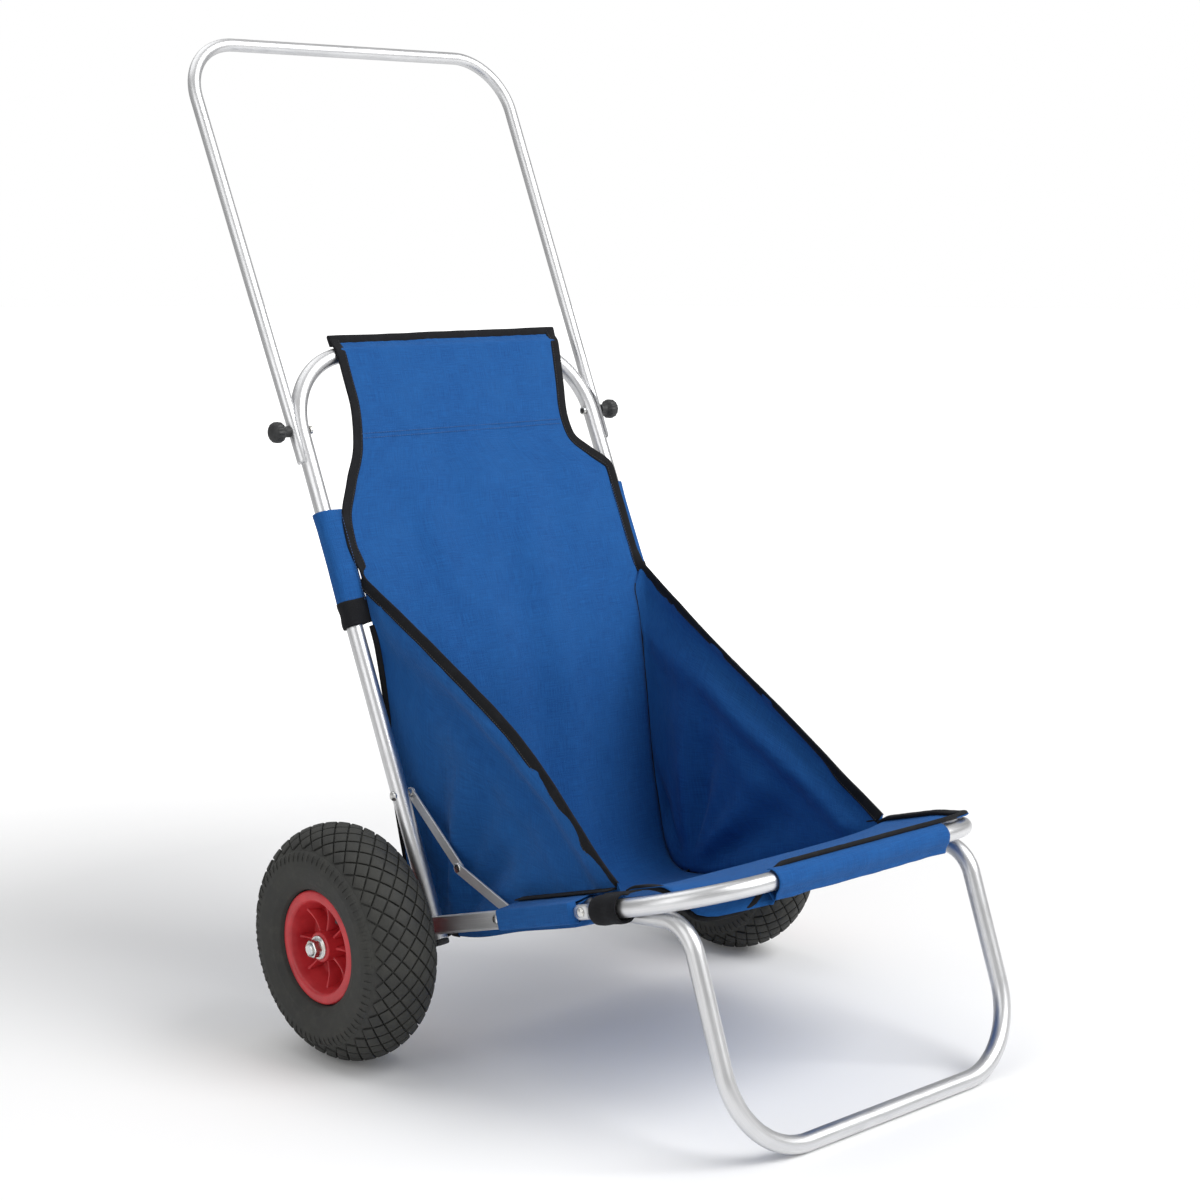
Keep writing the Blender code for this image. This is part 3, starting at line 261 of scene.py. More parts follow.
def mesh_object(name, points, faces, material, flow=None, smooth=True):
    """A mesh; flow holds each face corner's place on the surface in metres, for grain and weave."""
    mesh = bpy.data.meshes.new(name)
    mesh.from_pydata([tuple(p) for p in points], [], faces)
    layer = mesh.attributes.new("flow", "FLOAT_VECTOR", "CORNER")
    if flow is None:
        flow = [tuple(points[i]) for face in faces for i in face]
    layer.data.foreach_set("vector", np.asarray(flow, np.float32).ravel())
    mesh.polygons.foreach_set("use_smooth", [smooth] * len(faces))
    mesh.materials.append(material)
    obj = bpy.data.objects.new(name, mesh)
    bpy.context.scene.collection.objects.link(obj)
    return obj


def lattice(name, rows, material, ring=False, caps=False, turned=False):
    """A surface over rows of points; with ring each row closes on itself, with caps its ends are closed."""
    rows = np.asarray(rows, float)
    n_rows, n_cols = rows.shape[:2]
    steps = n_cols if ring else n_cols - 1
    ahead = np.roll(rows, -1, axis=1)
    across = np.concatenate([[0], np.cumsum(np.linalg.norm(ahead - rows, axis=2).mean(axis=0)[:steps])])
    along = np.concatenate([[0], np.cumsum(np.linalg.norm(np.diff(rows, axis=0), axis=2).mean(axis=1))])
    faces, flow = [], []
    for i in range(n_rows - 1):
        for j in range(steps):
            k = (j + 1) % n_cols
            faces.append((i * n_cols + j, i * n_cols + k, (i + 1) * n_cols + k, (i + 1) * n_cols + j))
            for a, b in ((i, j), (i, j + 1), (i + 1, j + 1), (i + 1, j)):
                flow.append((along[a], across[b], 0.0) if turned else (across[b], along[a], 0.0))
    if caps:
        for start in (0, (n_rows - 1) * n_cols):
            face = tuple(range(start, start + n_cols))
            faces.append(face)
            flow += [tuple(rows.reshape(-1, 3)[i]) for i in face]
    obj = mesh_object(name, rows.reshape(-1, 3), faces, material, flow)
    if ring:
        outward(obj)
    return obj


def path_frames(path, side):
    """Two directions square to the path at each point; side is kept as nearly as the path allows."""
    path = np.asarray(path, float)
    tangents = np.gradient(path, axis=0)
    side = np.asarray(side, float)
    frames = []
    for i, tangent in enumerate(tangents):
        tangent = unit(tangent)
        want = side if side.ndim == 1 else side[i]
        b = unit(want - tangent * np.dot(want, tangent))
        frames.append((np.cross(b, tangent), b))
    return frames


def sweep(name, path, section, side, material, caps=True):
    """Carries a section, a loop of (a, b) or a function giving it at each point, along a path."""
    rows = []
    for i, (a, b) in enumerate(path_frames(path, side)):
        loop = section(i) if callable(section) else section
        rows.append([np.asarray(path[i]) + a * u + b * v for u, v in loop])
    return lattice(name, rows, material, ring=True, caps=caps, turned=False)


def circle(radius, steps=36):
    return [(radius * math.cos(TAU * i / steps), radius * math.sin(TAU * i / steps)) for i in range(steps)]


def fillet(points, radius, closed=True, steps=3):
    """Rounds the corners of a flat outline."""
    points = [np.asarray(p, float) for p in points]
    n = len(points)
    out = []
    for i, p in enumerate(points):
        if not closed and i in (0, n - 1):
            out.append(tuple(p))
            continue
        before, after = points[i - 1] - p, points[(i + 1) % n] - p
        reach = min(radius, 0.45 * np.linalg.norm(before), 0.45 * np.linalg.norm(after))
        a, b = p + unit(before) * reach, p + unit(after) * reach
        for k in range(steps + 1):
            t = k / steps
            out.append(tuple((1 - t) ** 2 * a + 2 * t * (1 - t) * p + t * t * b))
    return out


def turned_piece(name, profile, material, side, at, steps=64, closed=False, shape=None):
    """A turned piece on an axis across the cart, from (radius, distance from the middle) points.

    shape may scale the radius by the angle and radius. A profile that isn't closed starts and ends on
    the axis.
    """
    rows = []
    for r, x in profile:
        row = []
        for i in range(steps):
            angle = TAU * i / steps
            k = r * (shape(angle, r, x) if shape else 1.0)
            row.append((side * x, at[1] + k * math.cos(angle), at[2] + k * math.sin(angle)))
        rows.append(row)
    if closed:
        rows.append(rows[0])
    obj = lattice(name, rows, material, ring=True, turned=True)
    outward(obj, WELD, DISSOLVE)
    return obj


def joined(name, pieces):
    """Several meshes as one object."""
    bpy.ops.object.select_all(action="DESELECT")
    for piece in pieces:
        piece.select_set(True)
    bpy.context.view_layer.objects.active = pieces[0]
    bpy.ops.object.join()
    pieces[0].name = name
    pieces[0].data.name = name
    return pieces[0]


def sharp(obj, angle=35):
    obj.data.set_sharp_from_angle(angle=math.radians(angle))
    return obj


def finish_piece(obj, body, nodes=()):
    """Puts a piece on its body and hides the CAD nodes it stands for."""
    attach(obj, body)
    if nodes:
        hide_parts(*nodes)
    return obj


def thicken(obj, thickness=CLOTH, offset=0.0):
    made = obj.modifiers.new("thickness", "SOLIDIFY")
    made.thickness = thickness
    made.offset = offset
    made.use_even_offset = False
    return obj


# ---------------------------------------------------------------- materials


class Nodes:
    """A small wrapper for building a material's node tree."""

    def __init__(self, name, base, roughness, metallic=0.0):
        self.material = bpy.data.materials.new(name)
        self.material.use_nodes = True
        self.tree = self.material.node_tree
        self.shader = self.tree.nodes["Principled BSDF"]
        self.set(self.shader, "Base Color", (*base, 1))
        self.set(self.shader, "Roughness", roughness)
        self.set(self.shader, "Metallic", metallic)
        self.material.diffuse_color = (*base, 1)

    def set(self, node, socket, value):
        node.inputs[socket].default_value = value

    def add(self, kind, **settings):
        node = self.tree.nodes.new(kind)
        for key, value in settings.items():
            if key in node.inputs:
                node.inputs[key].default_value = value
            else:
                setattr(node, key, value)
        return node

    def link(self, out, into):
        self.tree.links.new(out, into)

    def flow(self, scale):
        """Places on the surface in metres times scale, which may differ along and across."""
        source = self.add("ShaderNodeAttribute", attribute_name="flow")
        mapping = self.add("ShaderNodeMapping")
        mapping.inputs["Scale"].default_value = scale
        self.link(source.outputs["Vector"], mapping.inputs["Vector"])
        return mapping.outputs["Vector"]

    def space(self, scale):
        source = self.add("ShaderNodeTexCoord")
        mapping = self.add("ShaderNodeMapping")
        mapping.inputs["Scale"].default_value = scale
        self.link(source.outputs["Object"], mapping.inputs["Vector"])
        return mapping.outputs["Vector"]

    def noise(self, vector, scale=1.0, detail=3.0, roughness=0.5):
        node = self.add("ShaderNodeTexNoise")
        self.set(node, "Scale", scale)
        self.set(node, "Detail", detail)
        self.set(node, "Roughness", roughness)
        self.link(vector, node.inputs["Vector"])
        return node.outputs["Fac"]

    def spread(self, value, low, high, to_low=0.0, to_high=1.0):
        node = self.add("ShaderNodeMapRange")
        limits = {"From Min": low, "From Max": high, "To Min": to_low, "To Max": to_high}
        for socket, number in limits.items():
            self.set(node, socket, number)
        self.link(value, node.inputs["Value"])
        return node.outputs["Result"]

    def math(self, operation, first, second):
        node = self.add("ShaderNodeMath", operation=operation)
        for i, value in enumerate((first, second)):
            if isinstance(value, (int, float)):
                node.inputs[i].default_value = value
            else:
                self.link(value, node.inputs[i])
        return node.outputs["Value"]

    def mix(self, factor, first, second):
        node = self.add("ShaderNodeMix", data_type="RGBA")
        for index, value in ((6, first), (7, second)):
            if isinstance(value, tuple):
                node.inputs[index].default_value = (*value, 1)
            else:
                self.link(value, node.inputs[index])
        if isinstance(factor, (int, float)):
            node.inputs[0].default_value = factor
        else:
            self.link(factor, node.inputs[0])
        return node.outputs[2]

    def colour(self, output):
        self.link(output, self.shader.inputs["Base Color"])

    def roughness(self, output):
        self.link(output, self.shader.inputs["Roughness"])

    def bump(self, height, strength, distance):
        node = self.add("ShaderNodeBump")
        self.set(node, "Strength", strength)
        self.set(node, "Distance", distance)
        self.link(height, node.inputs["Height"])
        if self.shader.inputs["Normal"].is_linked:
            earlier = self.shader.inputs["Normal"].links[0].from_socket
            self.link(earlier, node.inputs["Normal"])
        self.link(node.outputs["Normal"], self.shader.inputs["Normal"])


def aluminium(name, base_rough):
    """Drawn aluminium: satin, with fine streaks along its length, faint scuffs and cloudy patches."""
    m = Nodes(name, (0.72, 0.725, 0.735), base_rough, 1.0)
    streaks = m.noise(m.flow((1400, 14, 1)), 1.0, 2.0)
    clouds = m.noise(m.space((1, 1, 1)), 26.0, 4.0, 0.6)
    scuffs = m.noise(m.flow((60, 900, 1)), 1.0, 3.0, 0.7)
    tone = m.spread(streaks, 0.3, 0.7)
    base = m.mix(tone, (0.68, 0.685, 0.695), (0.79, 0.792, 0.80))
    patch = m.spread(clouds, 0.48, 0.72, 0.0, 0.35)
    m.colour(m.mix(patch, base, (0.58, 0.585, 0.59)))
    cloudy = m.spread(clouds, 0.3, 0.7, base_rough - 0.05, base_rough + 0.07)
    rough = m.math("ADD", cloudy, m.spread(scuffs, 0.62, 0.75, 0.0, 0.12))
    m.roughness(m.math("ADD", rough, m.spread(streaks, 0.35, 0.65, -0.02, 0.03)))
    m.bump(streaks, 0.10, 0.0002)
    m.bump(scuffs, 0.05, 0.0002)
    return m.material


def zinc():
    """Bright plated steel with a faint yellow and blue cast and tool marks."""
    m = Nodes("zinc_steel", (0.72, 0.72, 0.70), 0.24, 1.0)
    clouds = m.noise(m.space((1, 1, 1)), 90.0, 4.0, 0.6)
    marks = m.noise(m.flow((300, 2600, 1)), 1.0, 2.0)
    m.colour(m.mix(m.spread(clouds, 0.35, 0.65), (0.66, 0.68, 0.70), (0.78, 0.76, 0.70)))
    m.roughness(m.math("ADD", m.spread(clouds, 0.3, 0.7, 0.18, 0.32), m.spread(marks, 0.4, 0.7, 0.0, 0.08)))
    m.bump(marks, 0.12, 0.0002)
    return m.material


def tyre_rubber():
    """Moulded rubber: matt, slightly greenish grey where dust sits, darker where it is clean."""
    m = Nodes("tyre_rubber", (0.036, 0.037, 0.034), 0.72)
    clouds = m.noise(m.space((1, 1, 1)), 24.0, 5.0, 0.62)
    grain = m.noise(m.space((1, 1, 1)), 1500.0, 2.0)
    dust = m.spread(m.noise(m.space((1, 1, 1)), 70.0, 6.0, 0.7), 0.48, 0.74)
    base = m.mix(m.spread(clouds, 0.35, 0.65), (0.025, 0.0255, 0.024), (0.039, 0.0395, 0.0355))
    m.colour(m.mix(m.math("MULTIPLY", dust, 0.35), base, (0.066, 0.064, 0.056)))
    m.roughness(m.spread(clouds, 0.3, 0.7, 0.62, 0.84))
    m.set(m.shader, "Specular IOR Level", 0.42)
    m.bump(grain, 0.22, 0.0003)
    m.bump(clouds, 0.15, 0.0006)
    return m.material


def tube_rubber():
    m = Nodes("tube_rubber", (0.022, 0.022, 0.023), 0.55)
    clouds = m.noise(m.space((1, 1, 1)), 60.0, 4.0)
    m.colour(m.mix(m.spread(clouds, 0.3, 0.7), (0.018, 0.018, 0.019), (0.034, 0.033, 0.033)))
    m.bump(clouds, 0.2, 0.0005)
    return m.material


def red_plastic():
    """Moulded polypropylene rim: satin, with flow clouds and a fine orange peel."""
    m = Nodes("red_plastic", (0.50, 0.026, 0.034), 0.38)
    clouds = m.noise(m.space((1, 1, 1)), 36.0, 4.0, 0.55)
    peel = m.noise(m.space((1, 1, 1)), 950.0, 2.0)
    m.colour(m.mix(m.spread(clouds, 0.32, 0.68), (0.43, 0.018, 0.026), (0.60, 0.040, 0.048)))
    m.roughness(m.spread(clouds, 0.3, 0.7, 0.30, 0.46))
    m.set(m.shader, "Subsurface Weight", 0.06)
    m.set(m.shader, "Subsurface Radius", (0.004, 0.001, 0.001))
    m.bump(peel, 0.12, 0.0003)
    return m.material


def black_plastic():
    """Moulded nylon with a spark-eroded grain and lighter rubbed spots."""
    m = Nodes("black_plastic", (0.026, 0.027, 0.028), 0.50)
    grain = m.noise(m.space((1, 1, 1)), 1300.0, 3.0, 0.6)
    clouds = m.noise(m.space((1, 1, 1)), 120.0, 4.0)
    m.colour(m.mix(m.spread(clouds, 0.40, 0.75), (0.014, 0.015, 0.016), (0.038, 0.039, 0.040)))
    m.roughness(m.spread(clouds, 0.3, 0.7, 0.42, 0.62))
    m.bump(grain, 0.45, 0.0005)
    return m.material


def blue_cloth():
    """Plain-weave polyester with slubs both ways, like coarse linen, and a soft sheen; the gaps between its
    threads are darkened with painted shade.
    """
    m = Nodes("blue_cloth", (0.016, 0.100, 0.360), 0.82)
    warp = m.noise(m.flow((1100, 42, 1)), 1.0, 3.0, 0.6)
    weft = m.noise(m.flow((42, 1100, 1)), 1.0, 3.0, 0.6)
    threads = []
    for direction in ("X", "Y"):
        wave = m.add("ShaderNodeTexWave", wave_type="BANDS", bands_direction=direction)
        m.set(wave, "Scale", 1.0)
        m.set(wave, "Distortion", 0.7)
        m.set(wave, "Detail", 1.0)
        m.link(m.flow((330, 330, 1)), wave.inputs["Vector"])
        threads.append(wave.outputs["Fac"])
    weave = m.math("MULTIPLY", threads[0], threads[1])
    slubs = m.math("ADD", m.spread(warp, 0.30, 0.72), m.spread(weft, 0.30, 0.72))
    patches = m.noise(m.flow((1, 1, 1)), 14.0, 4.0, 0.6)
    base = m.mix(m.spread(slubs, 0.35, 1.6), (0.0090, 0.069, 0.245), (0.0185, 0.122, 0.385))
    faded = m.mix(m.spread(patches, 0.42, 0.78, 0.0, 0.40), base, (0.022, 0.128, 0.375))
    # painted shade: the colour darkens where the weave is low, in the gaps between the threads
    m.colour(m.mix(m.spread(weave, 0.0, 0.25, 0.30, 0.0), faded, (0.005, 0.038, 0.145)))
    m.roughness(m.spread(slubs, 0.3, 1.7, 0.72, 0.92))
    m.set(m.shader, "Sheen Weight", 0.10)
    m.set(m.shader, "Sheen Roughness", 0.45)
    m.set(m.shader, "Sheen Tint", (0.45, 0.65, 1.0, 1))
    m.set(m.shader, "Specular IOR Level", 0.12)
    m.bump(weave, 0.35, 0.0004)
    m.bump(slubs, 0.45, 0.0005)
    m.bump(m.noise(m.flow((1, 1, 1)), 60.0, 4.0, 0.6), 0.20, 0.0016)
    return m.material


def black_webbing():
    """Ribbed woven tape, its colour painted darker in the grooves between the ribs and lighter on their
    crests.
    """
    m = Nodes("black_webbing", (0.016, 0.017, 0.020), 0.80)
    ribs = m.add("ShaderNodeTexWave", wave_type="BANDS", bands_direction="Y")
    m.set(ribs, "Scale", 1.0)
    m.set(ribs, "Distortion", 0.6)
    m.link(m.flow((330, 260, 1)), ribs.inputs["Vector"])
    fuzz = m.noise(m.flow((1, 1, 1)), 700.0, 3.0, 0.6)
    wear = m.noise(m.flow((1, 1, 1)), 60.0, 4.0, 0.6)
    # painted shade and light: darker in the grooves between the ribs, lighter on their crests
    base = m.mix(ribs.outputs["Fac"], (0.0050, 0.0053, 0.0066), (0.0135, 0.0140, 0.0165))
    m.colour(m.mix(m.spread(wear, 0.5, 0.8, 0.0, 0.5), base, (0.024, 0.025, 0.029)))
    m.set(m.shader, "Sheen Weight", 0.03)
    m.set(m.shader, "Sheen Roughness", 0.5)
    m.set(m.shader, "Specular IOR Level", 0.14)
    m.roughness(m.spread(fuzz, 0.3, 0.7, 0.68, 0.90))
    m.bump(ribs.outputs["Fac"], 0.55, 0.0005)
    m.bump(fuzz, 0.35, 0.0003)
    return m.material


def thread(name, base):
    """Sewing thread, with its twist."""
    m = Nodes(name, base, 0.6)
    twist = m.noise(m.space((1, 1, 1)), 900.0, 2.0)
    m.colour(m.mix(m.spread(twist, 0.3, 0.7), tuple(0.7 * c for c in base), tuple(1.4 * c for c in base)))
    m.set(m.shader, "Sheen Weight", 0.2)
    m.bump(twist, 0.4, 0.0002)
    return m.material


ALUMINIUM = aluminium("aluminium_tube", 0.37)
MILL = aluminium("aluminium_mill", 0.55)
ZINC = zinc()
RUBBER = tyre_rubber()
TUBE_RUBBER = tube_rubber()
RED = red_plastic()
BLACK = black_plastic()
BLUE = blue_cloth()
WEBBING = black_webbing()
BLUE_THREAD = thread("blue_thread", (0.020, 0.075, 0.22))
BLACK_THREAD = thread("black_thread", (0.020, 0.021, 0.025))


# ---------------------------------------------------------------- frame tubes


def u_path(half_low, half_high, length, corner, start, extra=(), steps=24, pitch=0.02):
    """A U as (x, distance) points: up the -X arm, across and down the +X arm."""
    lean = math.atan2(half_high - half_low, length)
    turn = math.pi / 2 + lean
    arm = unit((-(half_high - half_low), length))
    end = np.array([-half_high, length]) - arm * corner * math.tan(turn / 2)
    centre = end + np.array([arm[1], -arm[0]]) * corner
    stops = sorted({start, *extra, *np.arange(start + pitch, end[1] - 0.004, pitch)})
    half = [np.array([-(half_low + (half_high - half_low) * s / length), s]) for s in stops]
    first = math.atan2(end[1] - centre[1], end[0] - centre[0])
    for i in range(steps + 1):
        angle = first - turn * i / steps
        half.append(centre + corner * np.array([math.cos(angle), math.sin(angle)]))
    return half + [np.array([-p[0], p[1]]) for p in reversed(half)]


def end_rounding(path, radius, edge=0.0012):
    """Section radii that draw in at both ends of a tube, so its ends aren't knife sharp."""
    path = np.asarray(path)
    walked = distances(path)
    from_end = np.minimum(walked, walked[-1] - walked)
    inward = np.clip(1 - from_end / edge, 0, 1)
    return radius - edge * (1 - np.sqrt(1 - inward**2))


def bent_tube(name, path, radius, side):
    """A closed tube: its first end is rounded off, its last one only narrows over its last points."""
    path = [np.asarray(p, float) for p in path]
    for at, toward in ((0, 1), (len(path) - 1, len(path) - 3)):
        step = unit(path[toward] - path[at])
        extra = [path[at] + step * d for d in (0.0003, 0.0007, 0.0012)]
        if at:
            path[at:at] = extra[::-1]
        else:
            path[1:1] = extra
    radii = end_rounding(path, radius)
    loop = circle(1.0, 40)
    return sweep(name, path, lambda i: [(u * radii[i], v * radii[i]) for u, v in loop], side, ALUMINIUM)


def add_seat_tube():
    """The U round the seat's front, with its two ends pressed flat and rounded for the pivot bolts."""
    extra = list(np.linspace(LUG_END + 0.0004, LUG_ROUND, 26))
    flat = u_path(SEAT_HALF, SEAT_HALF, SEAT_LENGTH, SEAT_CORNER, LUG_END, extra)
    points = [seat_point(x, s) for x, s in flat]
    normal = seat_point(0, 0, 1) - seat_point(0, 0, 0)
    obj = sweep("seat_tube_skin", points, circle(TUBE, 40), normal, ALUMINIUM)
    origin, forward = seat_point(0, 0), seat_point(0, 1) - seat_point(0, 0)
    for vert in obj.data.vertices:
        p = np.array(vert.co) - origin
        along, height, x = p @ forward, p @ normal, p[0]
        if along > LUG_ROUND - 1e-6:
            continue
        share = ease((LUG_ROUND - along) / (LUG_ROUND - LUG_FULL))
        side = math.copysign(1, x)
        middle = side * (SEAT_HALF + (LUG_MIDDLE_X - SEAT_HALF) * share)
        thin = 1 + share * (LUG_THICKNESS / (2 * TUBE) - 1)
        tall = 1 + share * (LUG_HALF / TUBE - 1)
        from_end = min(LUG_HALF, along - LUG_END)
        tall *= math.sqrt(max(0.02, 1 - (1 - from_end / LUG_HALF) ** 2))
        out = side * (x - side * SEAT_HALF)
        squared = side * math.copysign(min(abs(out) * (1 + 0.55 * share), TUBE), out)
        vert.co = Vector(origin + forward * along + normal * height * tall
                         + np.array([middle + squared * thin, 0, 0]))
    return finish_piece(obj, "chassis", ["seat_tube"])


def add_back_tube():
    flat = u_path(BACK_HALF, BACK_HALF, BACK_TOP, BACK_CORNER, BACK_BOTTOM)
    points = [back_point(x, s) for x, s in flat]
    normal = back_point(0, 0, 1) - back_point(0, 0, 0)
    obj = bent_tube("back_tube_skin", points, TUBE, normal)
    return finish_piece(obj, "back", ["back_tube"])


def saddle_floor(up):
    """How near the middle of the cart the handle may reach, which gives its D-shaped ends."""
    if up >= SADDLE_FADE:
        return 0.0
    fade = ease((up - SADDLE_TOP) / (SADDLE_FADE - SADDLE_TOP))
    return SADDLE_X + (HANDLE_HALF + HANDLE_SPREAD * up - HANDLE_TUBE - SADDLE_X) * fade


def add_handle_tube():
    half_high = HANDLE_HALF + HANDLE_SPREAD * HANDLE_TOP
    extra = list(np.linspace(HANDLE_BOTTOM + 0.003, 0.05, 28))
    flat = u_path(HANDLE_HALF, half_high, HANDLE_TOP, HANDLE_CORNER, HANDLE_BOTTOM, extra)
    points = [handle_point(x, s) for x, s in flat]
    way = np.array([0, math.sin(HANDLE_LEAN), math.cos(HANDLE_LEAN)])
    obj = bent_tube("handle_tube_skin", points, HANDLE_TUBE, np.cross((1, 0, 0), way))
    bolt = back_point(0, BOLT_UP)
    for vert in obj.data.vertices:
        inner = saddle_floor((np.array(vert.co) - bolt) @ way)
        if abs(vert.co.x) < inner:
            vert.co.x = math.copysign(inner, vert.co.x)
    sharp(obj, 40)
    return finish_piece(obj, "handle", ["handle_tube"])


def add_leg_tube():
    foot = np.array([AXLE_Y - LEG_FOOT_FORWARD, TUBE])
    up = np.array([math.sin(LEG_LEAN), math.cos(LEG_LEAN)])
    knee = foot + up * LEG_HEIGHT
    pivot = seat_point(0, LEG_PIVOT_ALONG)[1:]
    rear = unit(pivot - knee)
    turn = math.acos(float(up @ rear))
    start = knee + rear * LEG_BEND * math.tan(turn / 2)
    centre = start + np.array([rear[1], -rear[0]]) * LEG_BEND
    first = math.atan2(*(start - centre)[::-1])
    bend = [centre + LEG_BEND * np.array([math.cos(first + turn * i / 20), math.sin(first + turn * i / 20)])
            for i in range(21)]
    arm = [pivot + rear * 0.012, *bend, foot + up * LEG_CORNER]
    near = [np.array([-LEG_HALF, *p]) for p in arm]
    for i in range(1, 25):
        angle = math.pi / 2 * i / 24
        flat = foot + up * LEG_CORNER * (1 - math.sin(angle))
        near.append(np.array([-LEG_HALF + LEG_CORNER * (1 - math.cos(angle)), *flat]))
    path = near + [p * (-1, 1, 1) for p in reversed(near)]
    dense = [path[0]]
    for a, b in zip(path, path[1:]):
        pieces = max(1, int(np.linalg.norm(b - a) / 0.02))
        dense += [a + (b - a) * k / pieces for k in range(1, pieces + 1)]
    obj = sweep("leg_tube_skin", dense, circle(TUBE, 40), leg_sides(dense, up), ALUMINIUM)
    for vert in obj.data.vertices:
        if vert.co.z < FOOT_FLAT_BELOW:
            vert.co.z = 0
    return finish_piece(obj, "leg", ["leg_tube"])


def leg_sides(path, up):
    """The direction that stays square to the leg along its arms, corners and foot."""
    sides = []
    forward = np.array([0, -up[1], up[0]])
    for i, p in enumerate(path):
        a, b = path[max(0, i - 1)], path[min(len(path) - 1, i + 1)]
        tangent = unit(b - a)
        if abs(tangent[0]) > 1e-3 or abs(p[0]) < LEG_HALF - 1e-4:
            sides.append(forward)
        else:
            sides.append(np.cross(tangent, (math.copysign(1, -p[0]), 0, 0)) * math.copysign(1, -p[0]) * -1)
    flipped = [sides[0]]
    for side in sides[1:]:
        flipped.append(side if np.dot(side, flipped[-1]) >= 0 else -np.asarray(side))
    return np.array(flipped)


def add_back_plug(label, side):
    """The moulded cap under a back tube."""
    foot = back_point(side * BACK_HALF, BACK_BOTTOM - GAP)
    down = back_point(0, -1) - back_point(0, 0)
    profile = [(0.0098, 0.0), (0.0099, 0.0012), (0.0099, 0.0036), (0.0094, 0.0050), (0.0082, 0.0057),
               (0.0050, 0.0060), (0.0008, 0.0061)]
    across, ahead = np.array([1.0, 0, 0]), np.cross(down, (1, 0, 0))
    rows = [[foot + down * d + across * u + ahead * v for u, v in circle(r, 40)] for r, d in profile]
    obj = lattice(f"back_plug_skin_{label}", rows, BLACK, ring=True, caps=True)
    return finish_piece(obj, "back", [f"back_plug_{label}"])


# ---------------------------------------------------------------- rails, braces and fasteners


def add_side_rail(label, side):
    """The pressed channel, with rounded lips, and its tongue."""
    half, web, out, lip = RAIL_HALF, RAIL_WEB_X, RAIL_LIP_X, RAIL_LIP
    outline = [
        (web, -half), (out, -half), (out, -half + lip), (web + RAIL_WEB, -half + lip),
        (web + RAIL_WEB, half - lip), (out, half - lip), (out, half), (web, half),
    ]
    outline = fillet(outline, 0.0009, steps=4)
    stops = [RAIL_REAR, RAIL_REAR + 0.0005, *np.arange(RAIL_REAR + 0.01, RAIL_FRONT - 0.004, 0.01),
             RAIL_FRONT - 0.0005, RAIL_FRONT]
    rows = [[seat_point(side * x, s, h) for x, h in outline] for s in stops]
    rail = lattice(f"side_rail_skin_{label}", rows, MILL, ring=True, caps=True, turned=False)
    tongue = fillet([(RAIL_FRONT - 0.004, -TONGUE_HALF), (TONGUE_END, -TONGUE_HALF),
                     (TONGUE_END, TONGUE_HALF), (RAIL_FRONT - 0.004, TONGUE_HALF)], 0.005, steps=6)
    rows = [[seat_point(side * x, s, h) for s, h in tongue] for x in (web + 0.0001, web + RAIL_WEB - 0.0001)]
    plate = lattice(f"tongue_{label}", rows, MILL, ring=True, caps=True)
    obj = sharp(joined(f"side_rail_skin_{label}", [rail, plate]), 50)
    return finish_piece(obj, "chassis", [f"side_rail_{label}"])


def brace_points():
    top = back_point(0, BRACE_TOP_UP)
    low = seat_point(0, BRACE_PIVOT_ALONG)
    knee = np.array([0, AXLE_Y - KNEE_BACK, WHEEL_RADIUS + KNEE_UP])
    return top, knee, low


def add_brace_bar(label, side, which, start, end, x):
    """A flat bar with round ends and softened edges."""
    length = np.linalg.norm(end - start)
    along = (end - start) / length
    across = np.cross((1, 0, 0), along)
    outline = []
    for i in range(17):
        a = math.pi * i / 16 - math.pi / 2
        outline.append((length + BAR_HALF * math.cos(a), BAR_HALF * math.sin(a)))
    for i in range(17):
        a = math.pi * i / 16 - math.pi / 2
        outline.append((-BAR_HALF * math.cos(a), -BAR_HALF * math.sin(a)))
    edge = 0.0004
    rows = []
    for depth, inset in ((-BAR / 2, edge), (-BAR / 2 + edge, 0), (BAR / 2 - edge, 0), (BAR / 2, edge)):
        row = []
        for u, v in outline:
            middle = min(length, max(0, u))
            shrink = 1 - inset / BAR_HALF
            row.append(start + along * (middle + (u - middle) * shrink) + across * v * shrink
                       + np.array([side * x + depth, 0, 0]))
        rows.append(row)
    obj = lattice(f"brace_{which}_skin_{label}", rows, MILL, ring=True, caps=True)
    sharp(obj, 30)
    return finish_piece(obj, f"brace_{which}_{label}", [f"brace_{which}_{label}"])


def head_profile(face, height, radius=HEAD_RADIUS, steps=7):
    """A domed rivet head from its crown down to the face it bears on."""
    dome = [(radius * 0.93 * math.sin(math.pi / 2 * i / steps),
             face + height * (0.22 + 0.78 * math.cos(math.pi / 2 * i / steps))) for i in range(steps + 1)]
    return dome + [(radius, face + 0.12 * height), (radius, face)]


def add_pin(name, label, side, body, at, outer, inner, shoulders=(), head=HEAD):
    """A rivet or bolt across one side of the frame."""
    profile = head_profile(outer + GAP, head)
    for top, bottom, radius in shoulders:
        profile += [(PIN, top), (radius, top), (radius, bottom), (PIN, bottom)]
    profile += [(PIN, outer)] if not shoulders else []
    tail = inner - GAP
    profile += [(PIN, tail), (HEAD_RADIUS - 0.0004, tail), (HEAD_RADIUS, tail - 0.0004),
                (HEAD_RADIUS, tail - 0.0011), (HEAD_RADIUS - 0.0008, tail - 0.0015), (0.0, tail - 0.0015)]
    obj = turned_piece(f"{name}_skin_{label}", profile, ZINC, side, at, 32)
    sharp(obj, 40)
    return finish_piece(obj, body, [f"{name}_{label}"])


